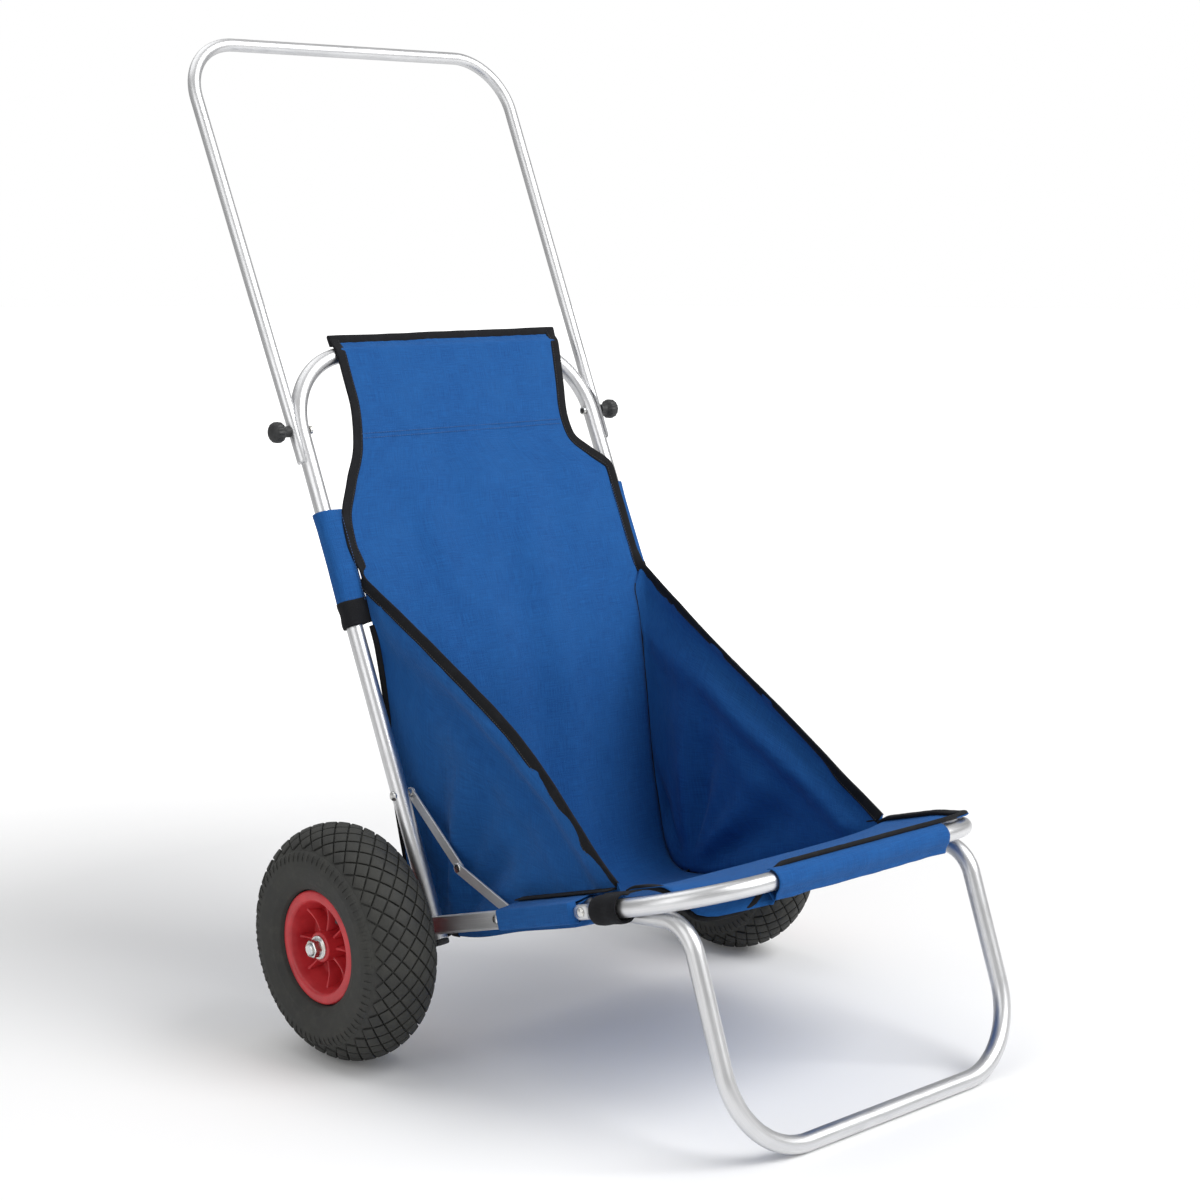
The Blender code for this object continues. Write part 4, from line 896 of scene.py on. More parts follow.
def add_fasteners(label, side):
    tube_outer, tube_inner = BACK_HALF + TUBE, BACK_HALF - TUBE
    web_outer = RAIL_WEB_X + RAIL_WEB
    top, knee, low = brace_points()
    back_pivot = seat_point(0, BACK_PIVOT_ALONG)
    leg_pivot = seat_point(0, LEG_PIVOT_ALONG)
    lower_outer = LOWER_BAR_X + BAR / 2
    add_pin("back_pivot_bolt", label, side, "chassis", back_pivot, web_outer, tube_inner)
    add_pin("leg_pivot_bolt", label, side, "chassis", leg_pivot, LUG_MIDDLE_X + LUG_THICKNESS / 2,
            LEG_HALF - TUBE)
    add_pin("brace_lower_rivet", label, side, "chassis", low, web_outer, LOWER_BAR_X - BAR / 2,
            [(RAIL_WEB_X - GAP, lower_outer + GAP, 0.005)])
    add_pin("brace_upper_rivet", label, side, "back", top, tube_outer, UPPER_BAR_X - BAR / 2,
            [(tube_inner - GAP, UPPER_BAR_X + BAR / 2 + GAP, 0.005)])
    profile = head_profile(lower_outer + GAP, 0.0010) + [(PIN, lower_outer + GAP), (PIN, lower_outer - BAR),
                                                         (0, lower_outer - BAR)]
    knee_rivet = turned_piece(f"brace_knee_rivet_skin_{label}", profile, ZINC, side, knee, 32)
    finish_piece(knee_rivet, f"brace_lower_{label}", [f"brace_knee_rivet_{label}"])
    face = UPPER_BAR_X - BAR / 2 - 0.0001
    profile = [(0, face + 0.0006), (PIN, face + 0.0006), (PIN, face), (0.0048, face),
               (0.0048, face - 0.0006),
               (0.0038, face - 0.0014), (0.0015, face - 0.0017), (0, face - 0.0018)]
    tail = turned_piece(f"brace_knee_tail_{label}", profile, ZINC, side, knee, 32)
    finish_piece(tail, f"brace_upper_{label}")
    low_x, high_x = LEG_HALF + TUBE + GAP, RAIL_WEB_X - GAP
    bush = fillet([(PIN + GAP, high_x), (0.0068, high_x), (0.0068, low_x), (PIN + GAP, low_x)], 0.0006)
    obj = turned_piece(f"leg_pivot_bush_skin_{label}", bush, BLACK, side, leg_pivot, 40, closed=True)
    finish_piece(obj, "chassis", [f"leg_pivot_bush_{label}"])


def add_clamp_knob(label, side):
    """A mushroom knob with a fluted rim on a narrower collar, and its stud."""
    at = back_point(0, BOLT_UP)
    face = HANDLE_HALF + HANDLE_TUBE + GAP
    cap = ((0.0, 1.0), (0.30, 0.995), (0.55, 0.975), (0.76, 0.935), (0.90, 0.88), (0.98, 0.80), (1.0, 0.70),
           (1.0, 0.58), (0.96, 0.49), (0.86, 0.43), (0.70, 0.385), (0.57, 0.34), (0.52, 0.26), (0.525, 0.14),
           (0.54, 0.03), (0.52, 0.0))
    profile = [(r * KNOB_RADIUS, face + x * KNOB_LENGTH) for r, x in cap]
    stud_end = BACK_HALF - TUBE - 0.0040
    profile += [(PIN, face), (PIN, stud_end + 0.0006), (PIN - 0.0006, stud_end), (0, stud_end)]

    def flutes(angle, r, x):
        deep = 0.055 * ease((r / KNOB_RADIUS - 0.72) / 0.2) if x > face + 0.4 * KNOB_LENGTH else 0.0
        return 1 - deep * (0.5 - 0.5 * math.cos(14 * angle))

    obj = turned_piece(f"clamp_knob_skin_{label}", profile, BLACK, side, at, 112, shape=flutes)
    sharp(obj, 50)
    return finish_piece(obj, f"knob_{label}", [f"clamp_knob_{label}"])


def add_insert_nut(label, side):
    at = back_point(0, BOLT_UP)
    high = BACK_HALF - TUBE - 3 * GAP
    low = high - 0.0034
    profile = fillet([(PIN + GAP, high), (0.0050, high), (0.0050, low), (PIN + GAP, low)], 0.0007)
    obj = turned_piece(f"insert_nut_skin_{label}", profile, ZINC, side, at, 40, closed=True)
    return finish_piece(obj, "back", [f"insert_nut_{label}"])


# ---------------------------------------------------------------- wheels


def crown(angle, shrink=0.0):
    """A point of the tyre's outside by the angle from its crown: (radius, distance outwards)."""
    return (TYRE_MIDDLE + (TYRE_DEPTH - shrink) * math.cos(angle),
            (TYRE_HALF_WIDTH - shrink) * math.sin(angle))


def sidewall_ring(radius):
    """Small moulded rings on the sidewall."""
    ring = 0.0008 * bump(radius - 0.1065, 0.0011) + 0.0005 * bump(radius - 0.1020, 0.0008)
    return ring + 0.0006 * bump(radius - 0.0730, 0.0010) + 0.0004 * bump(radius - 0.0905, 0.0007)


def tyre_profile():
    """The carcass from one bead over the crown to the other, then back inside."""
    outer = []
    reach = math.radians(123.6)
    for i in range(121):
        angle = -reach + 2 * reach * i / 120
        tread = 1 - ease((abs(math.degrees(angle)) - 56) / 14)
        r, x = crown(angle, (TREAD_DEPTH + 0.0004) * tread)
        side = math.copysign(1, x)
        grow = sidewall_ring(r) * ease((abs(math.degrees(angle)) - 62) / 10) if tread < 1 else 0.0
        dish = 0.0012 * bump(r - 0.082, 0.011)
        outer.append((r, x + side * (grow - dish)))
    bead = [(0.0634, 0.0298), (0.0600, 0.0262), (0.0550, 0.0228), (0.0545, 0.0185)]
    inner = [(TYRE_MIDDLE + 0.032 * math.cos(a), 0.041 * math.sin(a))
             for a in np.linspace(math.radians(118), -math.radians(118), 30)]
    return outer + bead + inner + [(r, -x) for r, x in bead[::-1]]


def tread_block(middle, row):
    """One diamond block as (points, faces); middle is its place round the wheel."""
    wide = TAU / TREAD_AROUND * 0.5 * 0.865
    tall = TREAD_PITCH * 0.865 / 0.0448
    centre = row * TREAD_PITCH / 0.0448
    low = 0.55 if abs(row) == TREAD_ROWS else 0.0
    marks = (-1.0, -0.84, -0.3, 0.3, 0.84, 1.0)
    last = len(marks) - 1
    points = []
    for level in (0, 1):
        for i, p in enumerate(marks):
            for j, q in enumerate(marks):
                rim = i in (0, last) or j in (0, last)
                if level and not rim:
                    continue
                spread = 1.0 if not level else 1.05
                around = middle + wide * (p - q) / 2 * spread
                angle = centre + tall * (p + q) / 2 * spread
                drop = TREAD_DEPTH + 0.0009 if level else (0.00055 if rim else 0.0)
                drop += low * TREAD_DEPTH * (1 - level)
                r, x = crown(angle, drop)
                points.append((x, r * math.cos(around), r * math.sin(around)))
    n = len(marks)
    faces = [(i * n + j, i * n + j + 1, (i + 1) * n + j + 1, (i + 1) * n + j)
             for i in range(last) for j in range(last)]
    loop = [(0, j) for j in range(last)] + [(i, last) for i in range(last)]
    loop += [(last, j) for j in range(last, 0, -1)] + [(i, 0) for i in range(last, 0, -1)]
    skirt = {place: n * n + k for k, place in enumerate(
        (i, j) for i in range(n) for j in range(n) if i in (0, last) or j in (0, last))}
    for a, b in zip(loop, loop[1:] + loop[:1]):
        faces.append((a[0] * n + a[1], skirt[a], skirt[b], b[0] * n + b[1]))
    faces.append(tuple(skirt[place] for place in loop))
    return points, faces


def tread(name):
    """All the tread blocks round the crown, in rows that step half a block from one to the next."""
    points, faces = [], []
    for row in range(-TREAD_ROWS, TREAD_ROWS + 1):
        for i in range(TREAD_AROUND):
            middle = TAU * (i + 0.5 * (row % 2)) / TREAD_AROUND
            more, sides = tread_block(middle, row)
            start = len(points)
            points += more
            faces += [tuple(start + k for k in face) for face in sides]
    obj = mesh_object(name, points, faces, RUBBER)
    outward(obj)
    return sharp(obj, 40)


def wheel_middle(side):
    return (side * HALF_TRACK, AXLE_Y, WHEEL_RADIUS)


def add_tyre(label, side):
    profile = [(r, HALF_TRACK + x) for r, x in tyre_profile()]
    at = wheel_middle(side)
    carcass = turned_piece(f"tyre_skin_{label}", profile, RUBBER, side, at, 144, closed=True)
    finish_piece(carcass, f"wheel_{label}", [f"tyre_{label}"])
    blocks = tread(f"tyre_tread_{label}")
    blocks.matrix_world = Matrix.Translation(at)
    bpy.context.view_layer.update()
    blocks.data.transform(blocks.matrix_world)
    blocks.matrix_world = Matrix.Identity(4)
    finish_piece(blocks, f"wheel_{label}")
    marks = nubs(f"tyre_nubs_{label}", at)
    finish_piece(marks, f"wheel_{label}")


def nubs(name, at):
    """Short radial ribs between the tread and the sidewall's outer ring, on both sides."""
    points, faces = [], []
    for way in (-1, 1):
        for i in range(2 * TREAD_AROUND):
            middle = TAU * (i + 0.5) / (2 * TREAD_AROUND)
            start = len(points)
            for angle, wide, tall in ((66, 0.0016, 0.0), (70, 0.0013, 0.0011), (76, 0.0010, 0.0010),
                                      (80, 0.0007, -0.0002)):
                for drop in (0.0012, -tall):
                    r, x = crown(math.radians(angle), drop)
                    for turn in (-wide / r, wide / r):
                        points.append((at[0] + way * x, at[1] + r * math.cos(middle + turn),
                                       at[2] + r * math.sin(middle + turn)))
            for k in range(3):
                a, b = start + 4 * k, start + 4 * (k + 1)
                faces += [(a, a + 1, b + 1, b), (a + 2, b + 2, b + 3, a + 3), (a, b, b + 2, a + 2),
                          (a + 1, a + 3, b + 3, b + 1)]
            faces += [(start, start + 2, start + 3, start + 1)]
            end = start + 12
            faces += [(end, end + 1, end + 3, end + 2)]
    obj = mesh_object(name, points, faces, RUBBER)
    outward(obj)
    return sharp(obj, 40)


def rim_profile():
    """The rim's section: a broad flat flange, a cone down to the web, and a long hub."""
    flange, lip, barrel = FLANGE_RADIUS, FLANGE_X, BARREL_RADIUS
    near = [
        (HUB_RADIUS - 0.0012, HUB_HALF), (HUB_RADIUS, HUB_HALF - 0.0012), (HUB_RADIUS + 0.0004, 0.010),
        (HUB_RADIUS + 0.004, 0.0062), (0.0400, 0.0060), (0.0432, 0.0085), (0.0478, 0.0285),
        (0.0500, 0.0350), (0.0522, 0.0370), (flange - 0.004, 0.0368), (flange - 0.0012, 0.0362),
        (flange, lip - 0.0008), (flange - 0.001, lip - 0.004), (barrel + 0.003, lip - 0.012),
        (barrel, 0.012),
    ]
    far = [
        (barrel, -0.012), (barrel + 0.003, 0.012 - lip), (flange - 0.001, 0.004 - lip),
        (flange, 0.0008 - lip),
        (flange - 0.0012, -0.0362), (flange - 0.004, -0.0368), (0.0560, -0.0364), (0.0530, -0.0330),
        (0.0440, -0.0090), (0.0420, -0.0062), (HUB_RADIUS + 0.004, -0.0030), (HUB_RADIUS, -0.0060),
        (HUB_RADIUS, 0.0012 - HUB_HALF), (HUB_RADIUS - 0.0012, -HUB_HALF),
    ]
    bore = [(0.0102, -HUB_HALF), (0.0102, HUB_HALF)]
    return [(r, HALF_TRACK + x) for r, x in fillet(near + far + bore, 0.0012, steps=3)]


def add_rim(label, side):
    at = wheel_middle(side)
    rim = turned_piece(f"rim_skin_{label}", rim_profile(), RED, side, at, 128, closed=True)
    ribs = [rib(f"rib_{label}_{i}", side, TAU * i / RIBS) for i in range(RIBS)]
    obj = sharp(joined(f"rim_skin_{label}", [rim, *ribs]), 45)
    return finish_piece(obj, f"wheel_{label}", [f"rim_{label}"])


def rib(name, side, turn):
    """A thin radial rib standing on the rim's web, lower in its middle than at its ends."""
    rows = []
    for i in range(9):
        t = i / 8
        r = 0.0155 + (0.0468 - 0.0155) * t
        top = 0.0245 - 0.0035 * math.sin(math.pi * t) + 0.001 * t
        wide = 0.0011 + 0.0006 * (abs(2 * t - 1) ** 3)
        row = []
        half = ((RIB_FOOT, wide * 1.25), (top - 0.0006, wide), (top, wide * 0.55))
        for depth, w in half + tuple((d, -w) for d, w in half[::-1]):
            y, z = r * math.cos(turn) - w * math.sin(turn), r * math.sin(turn) + w * math.cos(turn)
            row.append((side * (HALF_TRACK + depth), AXLE_Y + y, WHEEL_RADIUS + z))
        rows.append(row)
    return lattice(name, rows, RED, ring=True, caps=True)


def add_valve(label, side):
    """The tyre valve: a rubber foot, a stem and a ribbed cap."""
    profile = [
        (0, 0.0525), (0.0042, 0.0525), (0.0042, 0.0425), (0.0036, 0.0405), (0.0034, 0.0360),
        (0.0040, 0.0355),
        (0.0040, 0.0300), (0.0037, 0.0284), (0.0026, 0.0277), (0, 0.0275),
    ]
    steps = 40
    rows = []
    for r, d in profile:
        ribbed = 0.0295 < d < 0.036
        row = []
        for i in range(steps):
            a = TAU * i / steps
            k = r * (1 - 0.05 * (i % 2)) if ribbed else r
            x, y, z = k * math.cos(a), k * math.sin(a), d
            turned = (x + side * 0.016, y * math.cos(VALVE_TURN) - z * math.sin(VALVE_TURN),
                      y * math.sin(VALVE_TURN) + z * math.cos(VALVE_TURN))
            row.append(np.array(turned) + wheel_middle(side))
        rows.append(row)
    obj = lattice(f"valve_skin_{label}", rows, BLACK, ring=True)
    outward(obj, WELD)
    sharp(obj, 40)
    return finish_piece(obj, f"wheel_{label}", [f"valve_{label}"])


def add_axle_parts():
    length = HALF_TRACK + HUB_HALF + 0.014
    profile = [(0, length), (AXLE_RADIUS - 0.0008, length), (AXLE_RADIUS, length - 0.0008),
               (AXLE_RADIUS, 0.0008 - length), (AXLE_RADIUS - 0.0008, -length), (0, -length)]
    axle = turned_piece("axle_skin", profile, ZINC, 1, (0, AXLE_Y, WHEEL_RADIUS), 48)
    finish_piece(sharp(axle, 40), "chassis", ["axle"])
    for label, side in SIDES.items():
        at = (0, AXLE_Y, WHEEL_RADIUS)
        bore = AXLE_RADIUS + GAP
        low, high = RAIL_WEB_X + RAIL_WEB + GAP, HALF_TRACK - HUB_HALF - GAP
        spacer = fillet([(bore, high), (0.0076, high), (0.0076, low), (bore, low)], 0.0006)
        obj = turned_piece(f"axle_spacer_skin_{label}", spacer, ZINC, side, at, 48, closed=True)
        finish_piece(obj, "chassis", [f"axle_spacer_{label}"])
        outer, reach = 0.0099, HUB_HALF - GAP
        bush = fillet([(bore, HALF_TRACK + reach), (outer, HALF_TRACK + reach), (outer, HALF_TRACK - reach),
                       (bore, HALF_TRACK - reach)], 0.0006)
        obj = turned_piece(f"hub_bush_skin_{label}", bush, ZINC, side, at, 48, closed=True)
        finish_piece(obj, f"wheel_{label}", [f"hub_bush_{label}"])
        add_axle_nut(label, side, at)


def add_axle_nut(label, side, at):
    """A flanged lock nut with six flats, a turned shoulder and a hollow middle."""
    bore = AXLE_RADIUS + GAP
    low = HALF_TRACK + HUB_HALF + GAP
    flange, top = low + 0.0021, low + NUT_HEIGHT
    profile = [
        (bore, top - 0.0016), (bore + 0.0010, top - 0.0004), (bore + 0.0016, top), (0.0086, top),
        (0.0097, top - 0.0010), (NUT_RADIUS, top - 0.0024), (NUT_RADIUS, flange + 0.0006),
        (NUT_RADIUS + 0.0006, flange), (NUT_FLANGE_RADIUS - 0.0006, flange - 0.0002),
        (NUT_FLANGE_RADIUS, flange - 0.0009), (NUT_FLANGE_RADIUS, low), (bore, low),
    ]

    def flats(angle, r, x):
        if r > NUT_RADIUS + 0.0003 or r < 0.0084 or x < flange:
            return 1.0
        turn = (angle % (TAU / 6)) - TAU / 12
        return min(1.0, 0.90 / math.cos(turn))

    obj = turned_piece(f"axle_nut_skin_{label}", profile, ZINC, side, at, 96, closed=True, shape=flats)
    sharp(obj, 30)
    return finish_piece(obj, "chassis", [f"axle_nut_{label}"])


# ---------------------------------------------------------------- cloth shapes


def bucket_line(steps=BUCKET_STEPS):
    """The sling's middle line in (y, z), from the foot of the back panel round the bucket to the seat."""
    start = back_point(0, PANEL_UP, -WRAP)[1:]
    wall = np.array([AXLE_Y + 0.022, WHEEL_RADIUS + 0.091])
    floor = np.array([AXLE_Y - 0.050, WHEEL_RADIUS - 0.0050])
    end = seat_point(0, SPLIT_ALONG, SEAT_SAG)[1:]
    down = np.array([-0.21, -0.98])
    forward = np.array([-math.cos(SEAT_RISE), math.sin(SEAT_RISE)])
    lean = np.array([-math.sin(BACK_LEAN), -math.cos(BACK_LEAN)])
    level = np.array([-0.99, 0.10])
    points = []
    for a, a_way, b, b_way, pull in ((start, lean, wall, down, 0.30), (wall, down, floor, level, 0.47),
                                     (floor, level, end, forward, 0.40)):
        reach = np.linalg.norm(b - a) * pull
        first, second = a + a_way * reach, b - b_way * reach
        for i in range(steps):
            t = i / steps
            s = 1 - t
            points.append(s**3 * a + 3 * s * s * t * first + 3 * s * t * t * second + t**3 * b)
    points.append(end)
    return points


def seat_height(along, edge):
    """The seat's height over the seat line in its middle (0) or at its near (-1) or far (1) edge.

    It lies over the front tube, but the near corner hangs down behind the tube's bend.
    """
    deep = SEAT_SAG - (0.0 if edge else 0.004)
    t = ease((along - SEAT_SLOPE[0]) / (SEAT_SLOPE[1] - SEAT_SLOPE[0]))
    height = deep + (SEAT_FRONT_HEIGHT - (0.006 if edge else 0.001) - deep) * t
    if edge < 0:
        height += (NEAR_EDGE_HEIGHT - height) * ease((along - 0.335) / 0.030)
        return height + (CORNER_DROP - height) * ease((along - 0.405) / 0.060)
    if edge > 0:
        height += (FAR_EDGE_HEIGHT - height) * ease((along - 0.330) / 0.035)
    start, run = (0.430, 0.030) if edge else (0.460, 0.018)
    return height + (OVER_TUBE - height) * ease((along - start) / run)


def seat_half_width(along, side):
    """Half the seat's width: inside the tube's bend on the near side, and over it on the far side."""
    straight = SEAT_LENGTH - SEAT_CORNER
    if along <= straight:
        return SEAT_EDGE
    reach = SEAT_CORNER + 0.0085 if side > 0 else SEAT_CORNER - TUBE - 0.0020
    past = min(reach, along - straight)
    limit = SEAT_HALF - SEAT_CORNER + math.sqrt(reach * reach - past * past)
    wide = SEAT_EDGE + (0.0080 * ease((along - 0.420) / 0.030) if side > 0 else 0.0)
    return min(wide, limit)


def low_width(side, share):
    """The bucket's edge from the foot of the back panel (0) to the seat (1)."""
    return side * through(FAR_LOW if side > 0 else NEAR_LOW, share)


def lower_rows():
    """The rows of the sling's lower part: each is (middle y z, near y z, far y z, near X, far X)."""
    rows = []
    for i, p in enumerate(bucket_line()):
        share = i / BUCKET_ROWS
        rows.append((p, p, p, low_width(-1, share), low_width(1, share)))
    for along in np.linspace(SPLIT_ALONG, SEAT_LENGTH - WRAP * 0.2, 48)[1:]:
        middle, near, far = (seat_point(0, along, seat_height(along, e))[1:] for e in (0, -1, 1))
        blend = ease((along - SPLIT_ALONG) / 0.05)
        ends = [low_width(side, 1) * (1 - blend) + side * seat_half_width(along, side) * blend
                for side in (-1, 1)]
        rows.append((middle, near, far, *ends))
    return rows


def back_edge(side, up):
    return through(FAR_EDGE if side > 0 else NEAR_EDGE, up)


def upper_row(up, behind, fold=0.0, inset=0.0):
    """A row across the back panel at a height up the back, with soft vertical folds."""
    low, high = back_edge(-1, up) + inset, back_edge(1, up) - inset
    row = []
    for j in range(PANEL_COLUMNS + 1):
        u = j / PANEL_COLUMNS
        x = low + (high - low) * u
        middle = 1 - abs(2 * u - 1) ** 3
        depth = fold * middle * main_folds(x, up)
        row.append(back_point(x, up, behind + depth))
    return row


def main_folds(x, up):
    """How far the back panel dips rearwards: a shallow hollow and soft folds that fade to the top."""
    low = ease((0.66 - up) / 0.30)
    folds = 0.0040 * low
    folds += 0.0030 * low * math.sin((x + 0.35 * (up - 0.35)) * 46 + 0.8)
    folds += 0.0022 * low * math.sin((x - 0.2 * up) * 83)
    folds += 0.0035 * bump(x + 0.11 - 0.25 * (0.45 - up), 0.018) * ease((0.58 - up) / 0.12)
    folds += 0.0018 * waves(x, up * 0.35, 0, 0.05, 2.0)
    return folds + 0.0006 * waves(x, up, 0, 0.012, 5.0)


def lower_row(row, share):
    """A row across the bucket or seat, with its folds carried on from the back panel."""
    middle, near_edge, far_edge, near, far = row
    power = 2.6 + 2.4 * ease((share - 1.20) / 0.20)
    points = []
    for j in range(PANEL_COLUMNS + 1):
        u = 2 * j / PANEL_COLUMNS - 1
        x = near + (far - near) * (u + 1) / 2
        edge = near_edge if u < 0 else far_edge
        flat = edge + (middle - edge) * (1 - abs(u) ** power)
        sway = 0.0032 * math.sin(x * 46 + 0.8) + 0.0020 * math.sin(x * 83)
        sway += 0.0028 * waves(x, share * 0.2, 0.0, 0.045, 2.0)
        sway += 0.0006 * waves(x, share * 0.6, 0, 0.012, 5.0)
        calm = 1 - ease((share - 0.55) / 0.35)
        away = (1 - abs(u) ** 4) * (0.35 + 0.65 * calm) * (1 - ease((share - 1.30) / 0.15))
        lie = ease(share)
        y = flat[0] + sway * away * (1 - 0.7 * lie)
        z = flat[1] - 0.4 * abs(sway) * away * lie
        points.append(np.array([x, y, z]))
    return points


def front_behind(up):
    """Where the front layer lies: on the plane in front of the tubes, then in to the bound top edge."""
    return through(FRONT_LAYER, up)


def pocket_line():
    """The sling's section over the top bar as (up, behind, inset), from the rear hem to the front."""
    line = []
    for t in np.linspace(0, 1, 18):
        up = POCKET_BOTTOM + (BACK_TOP - 0.004 - POCKET_BOTTOM) * t
        line.append((up, WRAP * (2 * t - 1) + 2 * CLOTH * (1 - t), 0.004 + (POCKET_INSET - 0.004) * t))
    for up, behind in REAR_LAYER:
        line.append((up, behind, POCKET_INSET * max(0.0, behind - PEAK_BEHIND) / (WRAP - PEAK_BEHIND)))
    for up, behind in reversed(FRONT_LAYER[1:]):
        line.append((up, behind, 0.0))
    return line


def sling_rows():
    """All rows of the sling from the pocket's rear hem over the top and down to the front tube."""
    rows = [upper_row(up, behind, 0, inset) for up, behind, inset in pocket_line()]
    for up in np.linspace(BACK_TOP - 0.001, PANEL_UP, 70)[:-1]:
        rows.append(upper_row(up, -WRAP, fold=1 - ease((up - 0.60) / 0.07)))
    low = lower_rows()
    start = upper_row(PANEL_UP, -WRAP, fold=1)
    for i, line in enumerate(low):
        row = lower_row(line, i / BUCKET_ROWS)
        join = 1 - ease(i / 9)
        if join > 0:
            drop = np.array([0, *(line[0] - low[0][0])])
            spread = (line[4] - line[3]) / (low[0][4] - low[0][3])
            shift = (line[4] + line[3]) / 2 - (low[0][4] + low[0][3]) / 2 * spread
            carried = [p * (spread, 1, 1) + drop + (shift, 0, 0) for p in start]
            row = [p + (q - p) * join for p, q in zip(row, carried)]
        rows.append(row)
    return rows


# ---------------------------------------------------------------- cloth pieces


def bend_piece(obj, nodes=()):
    """Cloth that crosses the back's hinge: its transform is baked into its points and the CAD nodes it
    stands for are hidden; it is not put on a body.
    """
    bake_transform(obj)
    if nodes:
        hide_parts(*nodes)
    return obj


def at_stops(values, walked, stops):
    """Vectors known at walked distances, read off at other stops."""
    values = np.asarray(values, float)
    return np.stack([np.interp(stops, walked, values[:, k]) for k in range(3)], axis=1)


def resample_both(path, values, pitch):
    """Evenly spaced points along a path, with another set of vectors carried along."""
    path = np.asarray(path, float)
    walked = distances(path)
    stops = np.linspace(0, walked[-1], max(2, int(round(walked[-1] / pitch)) + 1))
    return at_stops(path, walked, stops), at_stops(values, walked, stops)


def resample(path, pitch):
    """Evenly spaced points along a path."""
    return resample_both(path, path, pitch)[0]


def smoothed(path, rounds=2):
    path = np.asarray(path, float).copy()
    for _ in range(rounds):
        path[1:-1] = 0.5 * path[1:-1] + 0.25 * (path[:-2] + path[2:])
    return path


def tape(name, path, inward, width=TAPE_WIDTH, thickness=TAPE, seed=0.0):
    """Binding folded over a cloth edge: path is the edge, inward points from it into the cloth."""
    section = []
    steps = 10
    half, thick = width / 2, thickness / 2
    for i in range(steps + 1):
        a = math.pi * i / steps - math.pi / 2
        section.append((-half + thick - thick * 1.15 * math.cos(a), -thick * 1.15 * math.sin(a)))
    section.reverse()
    section += [(half - 0.0004, thick * 0.72), (half, thick * 0.45), (half, -thick * 0.45),
                (half - 0.0004, -thick * 0.72)]
    path = np.asarray(path, float)
    inward = np.asarray(inward, float)
    tangents = np.gradient(path, axis=0)
    rows = []
    for i, p in enumerate(path):
        t = unit(tangents[i])
        w = unit(inward[i] - t * np.dot(inward[i], t))
        n = np.cross(t, w)
        swell = 1 + 0.10 * waves(*p, 0.006, seed) + 0.08 * waves(*p, 0.02, seed + 4)
        wander = 0.0005 * waves(*p, 0.03, seed + 9)
        rows.append([p + w * (half - 0.0006 + wander + u) + n * v * swell for u, v in section])
    return lattice(name, rows, WEBBING, ring=True, caps=True)


def stitches(name, path, normals, material=BLUE_THREAD, pitch=0.0034, length=0.0024, radius=0.00034):
    """A row of stitches lying on both faces of the cloth along a path."""
    path = np.asarray(path, float)
    normals = np.asarray(normals, float)
    walked = distances(path)
    count = int(walked[-1] / pitch)
    points, faces = [], []
    for k in range(count):
        s = (k + 0.5) * pitch
        ends = at_stops(path, walked, [s - length / 2, s + length / 2])
        n = unit(at_stops(normals, walked, [s])[0])
        t = unit(ends[1] - ends[0])
        b = np.cross(n, t)
        start = len(points)
        for share, size, lift in ((0, 0.35, -0.7), (0.22, 1.0, 0.35), (0.78, 1.0, 0.35), (1, 0.35, -0.7)):
            middle = ends[0] + (ends[1] - ends[0]) * share + n * lift * radius
            for a in range(6):
                angle = TAU * a / 6
                points.append(middle + (b * math.cos(angle) + n * math.sin(angle)) * radius * size)
        for ring in range(3):
            for a in range(6):
                p, q = start + ring * 6 + a, start + ring * 6 + (a + 1) % 6
                faces.append((p, q, q + 6, p + 6))
        faces.append(tuple(start + a for a in range(5, -1, -1)))
        faces.append(tuple(start + 18 + a for a in range(6)))
    return mesh_object(name, points, faces, material)


def beside(path, inward, distance, lift=None):
    """The path moved sideways into the cloth, and off it along lift."""
    path, inward = np.asarray(path), np.asarray(inward)
    tangents = np.gradient(path, axis=0)
    out = []
    for i, p in enumerate(path):
        t = unit(tangents[i])
        w = unit(inward[i] - t * np.dot(inward[i], t))
        out.append(p + w * distance + (lift[i] if lift is not None else 0))
    return np.array(out)


def side_seam(side, low):
    """The side panel's lower edge: down the back panel's edge, round the bucket and along the seat."""
    points = [back_point(back_edge(side, up), up, -WRAP)
              for up in np.linspace(JOIN_UP[side], PANEL_UP, 9)[:-1]]
    for i, (_, near_edge, far_edge, near, far) in enumerate(low):
        edge, x = (far_edge, far) if side > 0 else (near_edge, near)
        along = (AXLE_Y - edge[0]) / math.cos(SEAT_RISE)
        if i > BUCKET_ROWS and along > DIAGONAL_ALONG:
            break
        points.append(np.array([x, *edge]))
    return resample(points, 0.0075)


def diagonal(side, share):
    """The side panel's top edge, bowed up and towards the middle of the chair."""
    start = back_point(back_edge(side, JOIN_UP[side]), JOIN_UP[side], -WRAP)
    end = seat_point(side * 0.2035, DIAGONAL_ALONG, DIAGONAL_HEIGHT)
    p = start + (end - start) * share
    bow = math.sin(math.pi * min(1, share * 1.02)) ** 1.15
    low = bump(share - 0.72, 0.24) * bow
    p = p + np.array([0, 0.52, 0.85]) * 0.0135 * bow + np.array([0, 0, 0.0080]) * low
    p[0] -= side * (0.0150 * bow + 0.0040 * low)
    return p


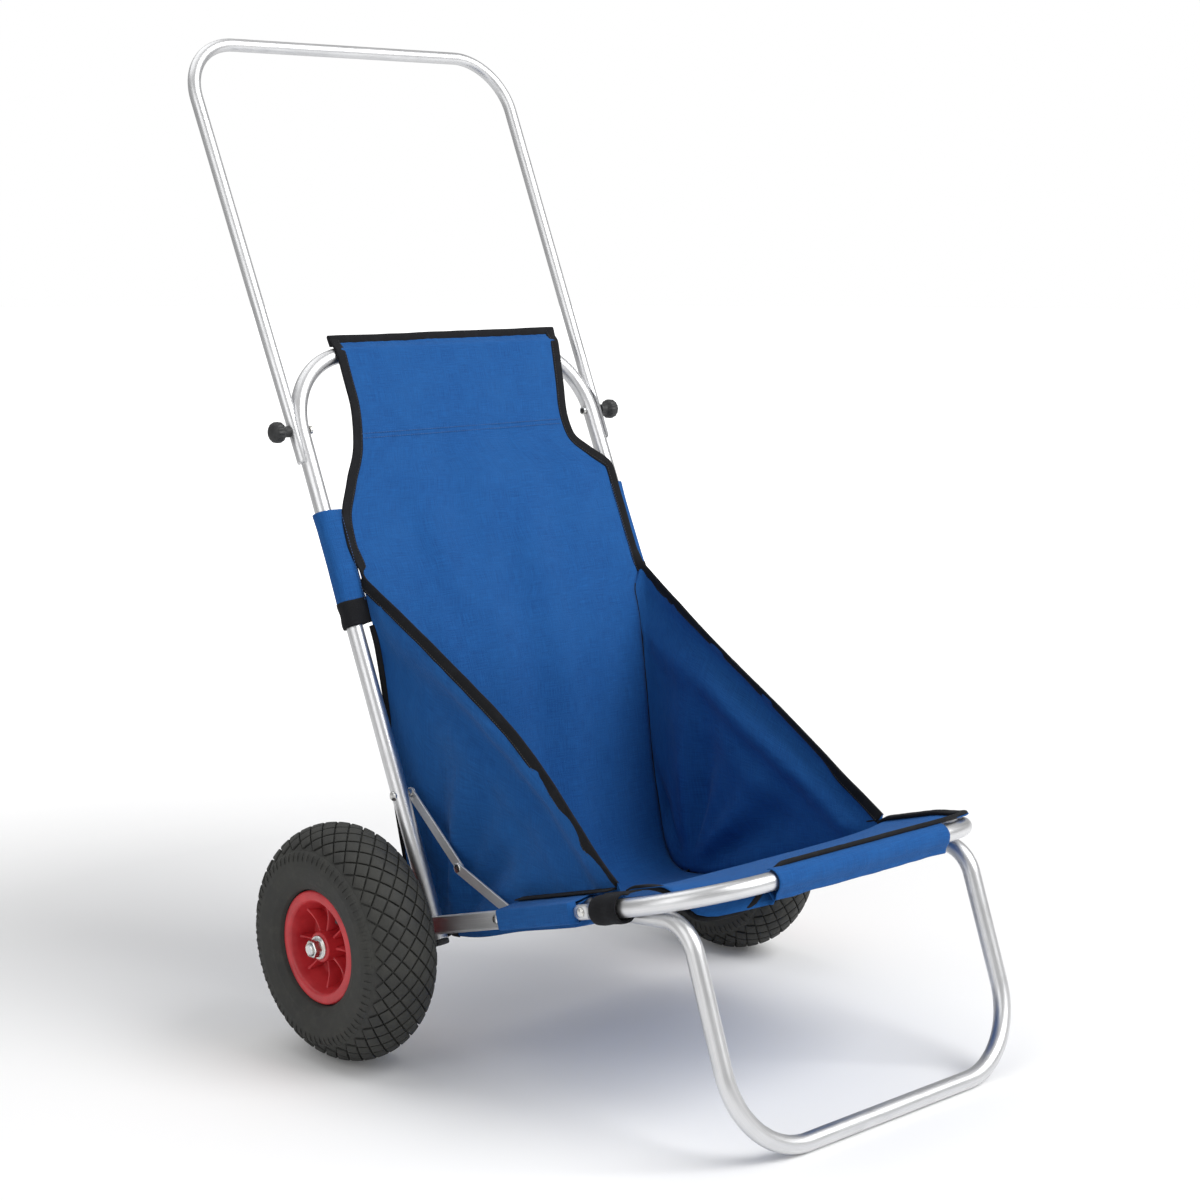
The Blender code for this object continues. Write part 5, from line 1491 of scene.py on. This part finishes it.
def panel_inward(side, p, edge_share, below):
    """How far the side panel stands in from its plane: an overhang at the edge, a fold, and creases."""
    run = math.sin(math.pi * min(1, max(0, edge_share))) ** 0.8
    inward = -0.0095 * bump(below - 0.026, 0.016) * run
    inward += 0.0125 * bump(below - 0.068, 0.022) * run
    inward += 0.0060 * bump(below - 0.125, 0.026) * run * bump(edge_share - 0.42, 0.25)
    from_corner = np.array([p[1] - 0.03, p[2] - 0.124])
    angle = math.atan2(from_corner[1], -from_corner[0])
    far = math.hypot(*from_corner)
    fan = ease(far / 0.05) * bump(far - 0.11, 0.09)
    inward += 0.0070 * fan * math.sin(angle * 7.5 + 0.6)
    inward += 0.0042 * fan * math.sin(angle * 15 + 2.0)
    inward += 0.0032 * waves(p[1], p[2], side, 0.042, 7.0)
    inward += 0.0009 * waves(p[1], p[2], side, 0.013, 1.5)
    return inward


def side_panel_rows(side, low):
    seam = side_seam(side, low)
    count = len(seam)
    walked = distances(seam)
    shares = walked / walked[-1]
    corner = shares[int(np.argmin(seam[:, 1] * 0.3 + seam[:, 2]))]
    rows = []
    for i in range(count):
        s = shares[i]
        edge_share = 0.30 * (s / corner) ** 1.1 if s < corner else 0.30 + 0.70 * (s - corner) / (1 - corner)
        top = diagonal(side, edge_share)
        row = []
        rise = np.linalg.norm(top - seam[i])
        for j in range(37):
            t = j / 36
            p = seam[i] + (top - seam[i]) * t
            below = rise * (1 - t)
            hold = min(1.0, t * rise / 0.03) * min(1.0, below / 0.008)
            # near the sewn edges the folds die out
            p[0] -= side * panel_inward(side, p, edge_share, below) * ease(hold) * ease(rise / 0.05)
            row.append(p)
        rows.append(row)
    return np.array(rows), seam


def add_sling():
    """The long centre panel: pocket, back, bucket and seat in one."""
    obj = lattice("sling_centre", sling_rows(), BLUE)
    thicken(obj)
    bend_piece(obj, ["sling_back", "sling_bucket", "sling_seat", "top_sleeve"])


def add_side_panel(label, side, low):
    rows, seam = side_panel_rows(side, low)
    obj = lattice(f"side_panel_cloth_{label}", rows, BLUE)
    thicken(obj)
    bend_piece(obj, [f"side_panel_{label}"])
    return rows, seam


def add_edge_tape(label, side, panel):
    """One length of binding: down the back panel's edge, then along the side panel's top edge."""
    ups = np.arange(0.6950, JOIN_UP[side] + 0.012, -0.004)
    path = [back_point(back_edge(side, up), up, front_behind(up)) for up in ups]
    inward = [np.array([-side, 0, 0]) for _ in path]
    under = [row[-1] - row[-4] for row in panel]
    diag = np.array([row[-1] for row in panel])
    keep = [i for i in range(len(diag)) if np.linalg.norm(diag[i] - diag[0]) > 0.010]
    path += [diag[i] for i in keep]
    inward += [-unit(under[i]) for i in keep]
    path = np.array(path)
    walked = distances(path)
    stops = np.linspace(0, walked[-1], int(walked[-1] / TAPE_PITCH))
    path = smoothed(at_stops(path, walked, stops), 3)
    inward = smoothed(at_stops(inward, walked, stops), 6)
    obj = tape(f"edge_tape_{label}", path, inward, seed=side)
    bend_piece(obj)
    tangents = np.gradient(path, axis=0)
    normals = np.array([unit(np.cross(t, w)) for t, w in zip(tangents, inward)])
    seams = []
    for way in (1, -1):
        line = beside(path, inward, TAPE_WIDTH - 0.0026) + normals * way * (TAPE / 2 * 0.82)
        seams.append(stitches(f"edge_stitch_{label}_{way}", line, normals * way, BLACK_THREAD))
    stitch = joined(f"edge_stitch_{label}", seams)
    bend_piece(stitch)


def add_top_tape():
    """The binding that stands along the sling's top edge, from ear to ear."""
    down = back_point(0, 0) - back_point(0, 1)
    forward = back_point(0, 0, -1) - back_point(0, 0)
    path = []
    for x in np.arange(back_edge(-1, TOP_TAPE_UP) - 0.0030, back_edge(1, TOP_TAPE_UP) + 0.0030, 0.003):
        path.append(back_point(x, TOP_TAPE_UP + 0.0005 * waves(x, 0, 0, 0.05, 2.0), PEAK_BEHIND))
    path = np.array(path)
    inward = np.tile(down, (len(path), 1))
    obj = tape("top_tape", path, inward, width=TOP_TAPE_WIDTH, thickness=TOP_TAPE, seed=3.0)
    finish_piece(obj, "back", ["top_binding"])
    seams = []
    for way in (1, -1):
        line = path + down * (TOP_TAPE_WIDTH - 0.0028) + forward * way * (TOP_TAPE / 2 * 0.86)
        normals = np.tile(forward * way, (len(line), 1))
        seams.append(stitches(f"top_stitch_{way}", line, normals, BLACK_THREAD))
    finish_piece(joined("top_stitch", seams), "back")


def add_pocket_seam():
    """The lines of stitches that close the top pocket, on its front layer and its rear one."""
    lines = []
    for above in POCKET_SEAMS:
        up = POCKET_BOTTOM + above
        line = np.array(upper_row(up, -WRAP - 0.0007))[2:-2]
        normal = back_point(0, 0, -1) - back_point(0, 0)
        lines.append(stitches(f"pocket_seam_{above}", line, np.tile(normal, (len(line), 1)), BLUE_THREAD))
        rear = np.array(upper_row(up, -WRAP + 0.0030, inset=0.006))[2:-2]
        lines.append(stitches(f"pocket_rear_{above}", rear, np.tile(-normal, (len(rear), 1)), BLUE_THREAD))
    return finish_piece(joined("pocket_stitch", lines), "back")


def add_back_sleeve(label, side):
    """The tab that wraps the back tube: from the panel's edge round the tube's outside and back."""
    outline = [
        (0.2030, -0.0107), (0.2120, -0.0107), (0.2205, -0.0107), (0.2272, -0.0088),
        (0.2308, -0.0050), (0.2318, 0.0004), (0.2308, 0.0060), (0.2262, 0.0104), (0.2205, WRAP),
        (0.2140, 0.0098), (0.2100, 0.0040), (0.2075, -0.0050), (0.2030, -0.0094),
    ]
    smooth_outline = fillet(outline, 0.003, closed=False, steps=3)
    rows = []
    for up in np.linspace(SLEEVE_UP + 0.0008, SLEEVE_TOP, 46):
        flare = 1 + 0.05 * bump(up - SLEEVE_TOP, 0.012) + 0.03 * bump(up - SLEEVE_UP, 0.012)
        row = []
        for x, b in smooth_outline:
            wobble = 0.0007 * waves(x * side, up, b, 0.03, 3.0)
            out = max(0.0, x - BACK_HALF) / 0.015
            spread = x + (wobble + (flare - 1) * 0.02) * out
            row.append(back_point(side * spread, up, b * flare if x > 0.212 else b))
        rows.append(row)
    obj = lattice(f"back_sleeve_cloth_{label}", rows, BLUE)
    thicken(obj, SLEEVE_CLOTH)
    finish_piece(obj, "back", [f"back_sleeve_{label}"])
    seams = []
    normal = back_point(0, 0, -1) - back_point(0, 0)
    for up in (SLEEVE_UP + 0.005, SLEEVE_TOP - 0.005):
        line = np.array([back_point(side * x, up, b) for x, b in smooth_outline[2:-6]])
        middle = back_point(side * BACK_HALF, up)
        outs = np.array([unit(p - middle) for p in line])
        line, outs = resample_both(line + outs * 0.0006, outs, 0.002)
        seams.append(stitches(f"sleeve_hem_{label}", line, outs, BLUE_THREAD))
    line = np.array([back_point(side * 0.2065, up, -WRAP - 0.0016)
                     for up in np.linspace(SLEEVE_UP, SLEEVE_TOP, 60)])
    seams.append(stitches(f"sleeve_side_{label}", line, np.tile(normal, (len(line), 1)), BLUE_THREAD))
    finish_piece(joined(f"sleeve_stitch_{label}", seams), "back")


def add_back_strap(label, side):
    """The black loop under the blue tab, with its end sewn to the panel's corner."""
    outline = [
        (0.1990, -0.0106), (0.2080, -0.0107), (0.2150, -0.0110), (0.2210, -0.0110),
        (0.2276, -0.0092), (0.2313, -0.0050), (0.2323, 0.0006), (0.2310, 0.0064), (0.2262, 0.0108),
        (0.2200, WRAP + 0.0004), (0.2135, 0.0095), (0.2100, 0.0030), (0.2075, -0.0060), (0.1995, -0.0090),
    ]
    smooth_outline = fillet(outline, 0.003, closed=False, steps=3)
    rows = []
    for up in np.linspace(STRAP_UP, SLEEVE_UP + 0.003, 14):
        sway = 0.0006 * math.sin((up - STRAP_UP) * 300)
        rows.append([back_point(side * (x + sway), up + 0.10 * max(0, BACK_HALF - x), b)
                     for x, b in smooth_outline])
    obj = lattice(f"back_strap_web_{label}", rows, WEBBING, turned=True)
    thicken(obj, WEB)
    finish_piece(obj, "back", [f"back_strap_{label}"])


def add_front_strap(label, side):
    """The black loop round the seat tube that holds the front of the side panel."""
    rows = []
    for along in np.linspace(STRAP_ALONG[0], STRAP_ALONG[1], 14):
        t = (along - STRAP_ALONG[0]) / (STRAP_ALONG[1] - STRAP_ALONG[0])
        swell = 1 + 0.05 * math.sin(math.pi * t) + 0.03 * math.sin(9 * t)
        row = []
        for k in range(31):
            a = math.radians(118) - math.radians(296) * k / 30
            r = (WRAP + 0.0020) * swell
            row.append(seat_point(side * (SEAT_HALF + r * math.cos(a)), along, r * math.sin(a)))
        tail = [seat_point(side * (0.2030 + 0.0060 * k), along - 0.0015 * (4 - k), 0.0125 + 0.0006 * k)
                for k in range(4)]
        end = [seat_point(side * (0.2120 - 0.0040 * k), along - 0.002 * k, 0.0015 + 0.0022 * k)
               for k in range(3)]
        rows.append(tail + row + end)
    obj = lattice(f"front_strap_web_{label}", rows, WEBBING, turned=True)
    thicken(obj, WEB)
    finish_piece(obj, "chassis", [f"front_strap_{label}"])


def add_rail_sleeve(label, side):
    """Cloth wrapped round the channel, with its flap sewn to the side panel."""
    half = RAIL_HALF + 0.0012
    inner, outer = RAIL_WEB_X - 0.0012, RAIL_LIP_X + 0.0012
    outline = [
        (0.2008, 0.0142), (0.2130, 0.0136), (inner, half + 0.0006), (outer, half), (outer, -half),
        (inner, -half), (inner - 0.0002, half - 0.0032), (0.2130, 0.0112), (0.2008, 0.0118),
    ]
    smooth_outline = fillet(outline, 0.0026, closed=False, steps=4)
    rows = []
    for along in np.linspace(RAIL_SLEEVE_REAR, RAIL_FRONT + SLEEVE_LIP, 50):
        row = []
        closing = ease((along - RAIL_FRONT - 0.0004) / SLEEVE_LIP)
        for x, h in smooth_outline:
            x += (min(x, RAIL_WEB_X + RAIL_WEB) - x) * closing
            puff = 0.0009 * math.cos((h / half) * math.pi / 2) if x > outer - 0.001 else 0.0
            wrinkle = 0.0006 * waves(x, along, h, 0.018, 6.0)
            row.append(seat_point(side * (x + puff + wrinkle), along, h + 0.5 * wrinkle))
        rows.append(row)
    obj = lattice(f"rail_sleeve_cloth_{label}", rows, BLUE)
    thicken(obj)
    finish_piece(obj, "chassis", [f"rail_sleeve_{label}"])
    # The black tape along the flap's seam is drawn wider than the binding, so it also stands for the shadow
    # between the rail's top and the cloth: partly binding, partly painted shadow.
    seam = np.array([seat_point(side * RAIL_SEAM_X, s, RAIL_SEAM_HEIGHT)
                     for s in np.arange(RAIL_SLEEVE_REAR, DIAGONAL_ALONG - 0.004, 0.004)])
    inward = np.tile(seat_point(side * 1.0, 0, -0.05) - seat_point(0, 0), (len(seam), 1))
    made = tape(f"rail_seam_tape_and_shadow_{label}", seam, inward, width=0.0140, thickness=0.0020, seed=4.0)
    finish_piece(made, "chassis")


def add_front_sleeve():
    """Cloth round the front cross tube: over it, down its front and up behind, with a stitched hem."""
    r = WRAP + 0.0004
    outline = [(-0.0290, 0.0042), (-0.0150, 0.0004), (-0.0100, -0.0070), (-0.0036, -0.0135),
               (-0.0014, -FRONT_HEM + 0.0006), (0.0002, -FRONT_HEM), (0.0018, -FRONT_HEM + 0.0006),
               (0.0036, -0.0145), (0.0096, -0.0080)]
    round_tube = np.linspace(math.radians(-28), math.radians(100), 12)
    outline += [(r * math.cos(a), r * math.sin(a)) for a in round_tube]
    smooth_outline = fillet(outline, 0.0025, closed=False, steps=3)
    rows = []
    for x in np.linspace(-FRONT_SLEEVE_HALF, FRONT_SLEEVE_HALF, 90):
        row = []
        for f, h in smooth_outline:
            low = ease((-h - 0.008) / 0.010)
            ripple = 0.0012 * low * waves(x, h, 0, 0.022, 8.0) + 0.0004 * waves(x, h, f, 0.010, 2.0)
            row.append(seat_point(x, SEAT_LENGTH + f + ripple, h + 0.0010 * low * waves(x, 0, 0, 0.03, 1.0)))
        rows.append(row)
    obj = lattice("front_sleeve_cloth", rows, BLUE)
    thicken(obj)
    finish_piece(obj, "chassis", ["front_sleeve"])
    lines = []
    ahead = seat_point(0, 1) - seat_point(0, 0)
    for height, reach in ((-FRONT_HEM + 0.0040, 0.0030), (-FRONT_HEM + 0.0072, 0.0046)):
        line = np.array([seat_point(x, SEAT_LENGTH + reach, height)
                         for x in np.linspace(-FRONT_SLEEVE_HALF + 0.003, FRONT_SLEEVE_HALF - 0.003, 80)])
        lines.append(stitches(f"front_hem_{height}", line, np.tile(ahead, (len(line), 1)), BLUE_THREAD))
    finish_piece(joined("front_hem_stitch", lines), "chassis")


def add_seat_tapes():
    """The seat's bound free edge: from one strap along the side, across the front and back to the other."""
    def side_path(side):
        path = []
        for along in np.linspace(DIAGONAL_ALONG + 0.004, SEAT_LENGTH - 0.012, 36):
            sag = 0.010 * bump(along - 0.430, 0.030) if side < 0 else 0.0
            x = side * (seat_half_width(along, side) - 0.001)
            path.append(seat_point(x, along, seat_height(along, side) - sag + 0.0012))
        return path

    near = side_path(-1)
    for k in range(2):
        near.append(seat_point(-FRONT_SLEEVE_HALF - 0.006 + 0.007 * k, SEAT_LENGTH - 0.010 + 0.006 * k,
                               -0.004 + 0.012 * k))
    far = side_path(1)
    across = [seat_point(x, SEAT_LENGTH + 0.0030, 0.0148)
              for x in np.linspace(-FRONT_SLEEVE_HALF + 0.012, FRONT_SLEEVE_HALF + 0.020, 44)]
    whole = near + across + far[::-1]
    whole = smoothed(resample(smoothed(whole, 2), 0.003), 3)
    up = seat_point(0, 0, 1) - seat_point(0, 0)
    middle = seat_point(0, 0.40, 0.0)
    inward = np.array([middle - p - up * np.dot(middle - p, up) for p in whole])
    obj = tape("seat_tape", whole, inward, width=0.0115, thickness=0.0046, seed=2.0)
    finish_piece(obj, "chassis")


def add_rear_tape(label, side, seam):
    """The bound seam between the bucket's rear wall and the side panel, on the outside."""
    keep = [p for p in seam if p[2] < back_point(0, STRAP_UP + 0.008)[2] and p[1] > 0.012]
    path = smoothed(resample(keep, 0.003), 2)
    tangents = np.gradient(path, axis=0)
    out = []
    for t in tangents:
        t = unit(t)
        rear = np.array([side * 0.55, t[2] * -1.0, t[1]])
        if rear[1] < 0:
            rear = np.array([side * 0.55, -rear[1], -rear[2]])
        out.append(-unit(rear))
    inward = np.array(out)
    shift = 0.0042 if side < 0 else 0.0056
    obj = tape(f"rear_tape_{label}", path - inward * shift, inward, width=0.0070, thickness=0.0022, seed=5.0)
    bend_piece(obj)


# ---------------------------------------------------------------- assembly


def build_cloth():
    low = lower_rows()
    add_sling()
    add_top_tape()
    add_pocket_seam()
    add_front_sleeve()
    add_seat_tapes()
    for label, side in SIDES.items():
        add_rail_sleeve(label, side)
        add_back_sleeve(label, side)
        add_back_strap(label, side)
        add_front_strap(label, side)
        panel, seam = add_side_panel(label, side, low)
        add_edge_tape(label, side, panel)
        add_rear_tape(label, side, seam)


def build_frame():
    add_seat_tube()
    add_back_tube()
    add_handle_tube()
    add_leg_tube()
    top, knee, low = brace_points()
    for label, side in SIDES.items():
        add_back_plug(label, side)
        add_side_rail(label, side)
        add_brace_bar(label, side, "upper", top, knee, UPPER_BAR_X)
        add_brace_bar(label, side, "lower", low, knee, LOWER_BAR_X)
        add_fasteners(label, side)
        add_clamp_knob(label, side)
        add_insert_nut(label, side)


def build_wheels():
    add_axle_parts()
    for label, side in SIDES.items():
        add_tyre(label, side)
        add_rim(label, side)
        add_valve(label, side)
        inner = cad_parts[f"inner_tube_{label}"]
        inner.data.materials.clear()
        inner.data.materials.append(TUBE_RUBBER)


# ---------------------------------------------------------------- studio


def add_floor():
    """A pale floor that brightens to the white of the background well away from the cart."""
    rings = (0.0, 1.0, 2.0, 3.0, 4.0, 6.0, 9.0, 14.0, 22.0)
    steps = 64
    rows = [[(r * math.cos(TAU * i / steps), r * math.sin(TAU * i / steps), 0.0) for i in range(steps)]
            for r in rings]
    m = Nodes("floor", (0.87, 0.87, 0.87), 0.8)
    soft = m.noise(m.space((1, 1, 1)), 3.0, 3.0)
    m.colour(m.mix(soft, (0.875, 0.875, 0.878), (0.885, 0.885, 0.885)))
    distance = m.add("ShaderNodeVectorMath", operation="LENGTH")
    m.link(m.space((1, 1, 1)), distance.inputs[0])
    sight = m.add("ShaderNodeLightPath").outputs["Is Camera Ray"]
    glow = m.math("MULTIPLY", m.spread(distance.outputs["Value"], 0.9, 3.4, 0.05, 1.0), sight)
    m.set(m.shader, "Emission Color", (1, 1, 1, 1))
    m.link(glow, m.shader.inputs["Emission Strength"])
    obj = lattice("floor", rows, m.material, ring=True, caps=False)
    obj.location.z = -0.0004


def add_light(name, at, target, size, power, tint=(1, 1, 1)):
    data = bpy.data.lights.new(name, "AREA")
    data.shape = "RECTANGLE"
    data.size, data.size_y = size
    data.energy = power
    data.color = tint
    obj = bpy.data.objects.new(name, data)
    obj.location = at
    obj.rotation_mode = "QUATERNION"
    obj.rotation_quaternion = (Vector(target) - Vector(at)).to_track_quat("-Z", "Y")
    bpy.context.scene.collection.objects.link(obj)


def add_studio():
    world = bpy.data.worlds.new("studio")
    world.use_nodes = True
    nodes, links = world.node_tree.nodes, world.node_tree.links
    background = nodes["Background"]
    background.inputs["Color"].default_value = (1, 1, 1, 1)
    sight = nodes.new("ShaderNodeLightPath").outputs["Is Camera Ray"]
    strength = nodes.new("ShaderNodeMapRange")
    strength.inputs["To Min"].default_value = 0.40
    strength.inputs["To Max"].default_value = 1.0
    links.new(sight, strength.inputs["Value"])
    links.new(strength.outputs["Result"], background.inputs["Strength"])
    bpy.context.scene.world = world
    add_light("key", (1.5, -3.0, 3.4), (0, 0, 0.4), (3.2, 3.2), 190)
    add_light("side", (-3.4, -0.8, 2.0), (0, 0, 0.5), (2.4, 3.2), 30)
    add_light("top", (-0.4, 1.6, 3.6), (0, 0, 0.5), (3.2, 3.2), 34)
    bpy.context.scene.view_settings.view_transform = "Standard"


def add_camera():
    data = bpy.data.cameras.new("camera")
    data.sensor_width = 36.0
    data.lens = 36.0 * 2351 / 1200
    data.clip_end = 60
    obj = bpy.data.objects.new("camera", data)
    turn, drop, roll = math.radians(-42.80), math.radians(-9.217), math.radians(0.14)
    forward = Vector((-math.sin(turn) * math.cos(drop), math.cos(turn) * math.cos(drop), math.sin(drop)))
    obj.location = (-1.7659, -1.9159, 0.9041)
    obj.rotation_mode = "QUATERNION"
    look = forward.to_track_quat("-Z", "Y").to_matrix().to_4x4()
    obj.rotation_quaternion = (look @ Matrix.Rotation(roll, 4, "Z")).to_quaternion()
    bpy.context.scene.collection.objects.link(obj)
    bpy.context.scene.camera = obj


add_camera()
add_floor()
add_studio()
build_frame()
build_wheels()
build_cloth()
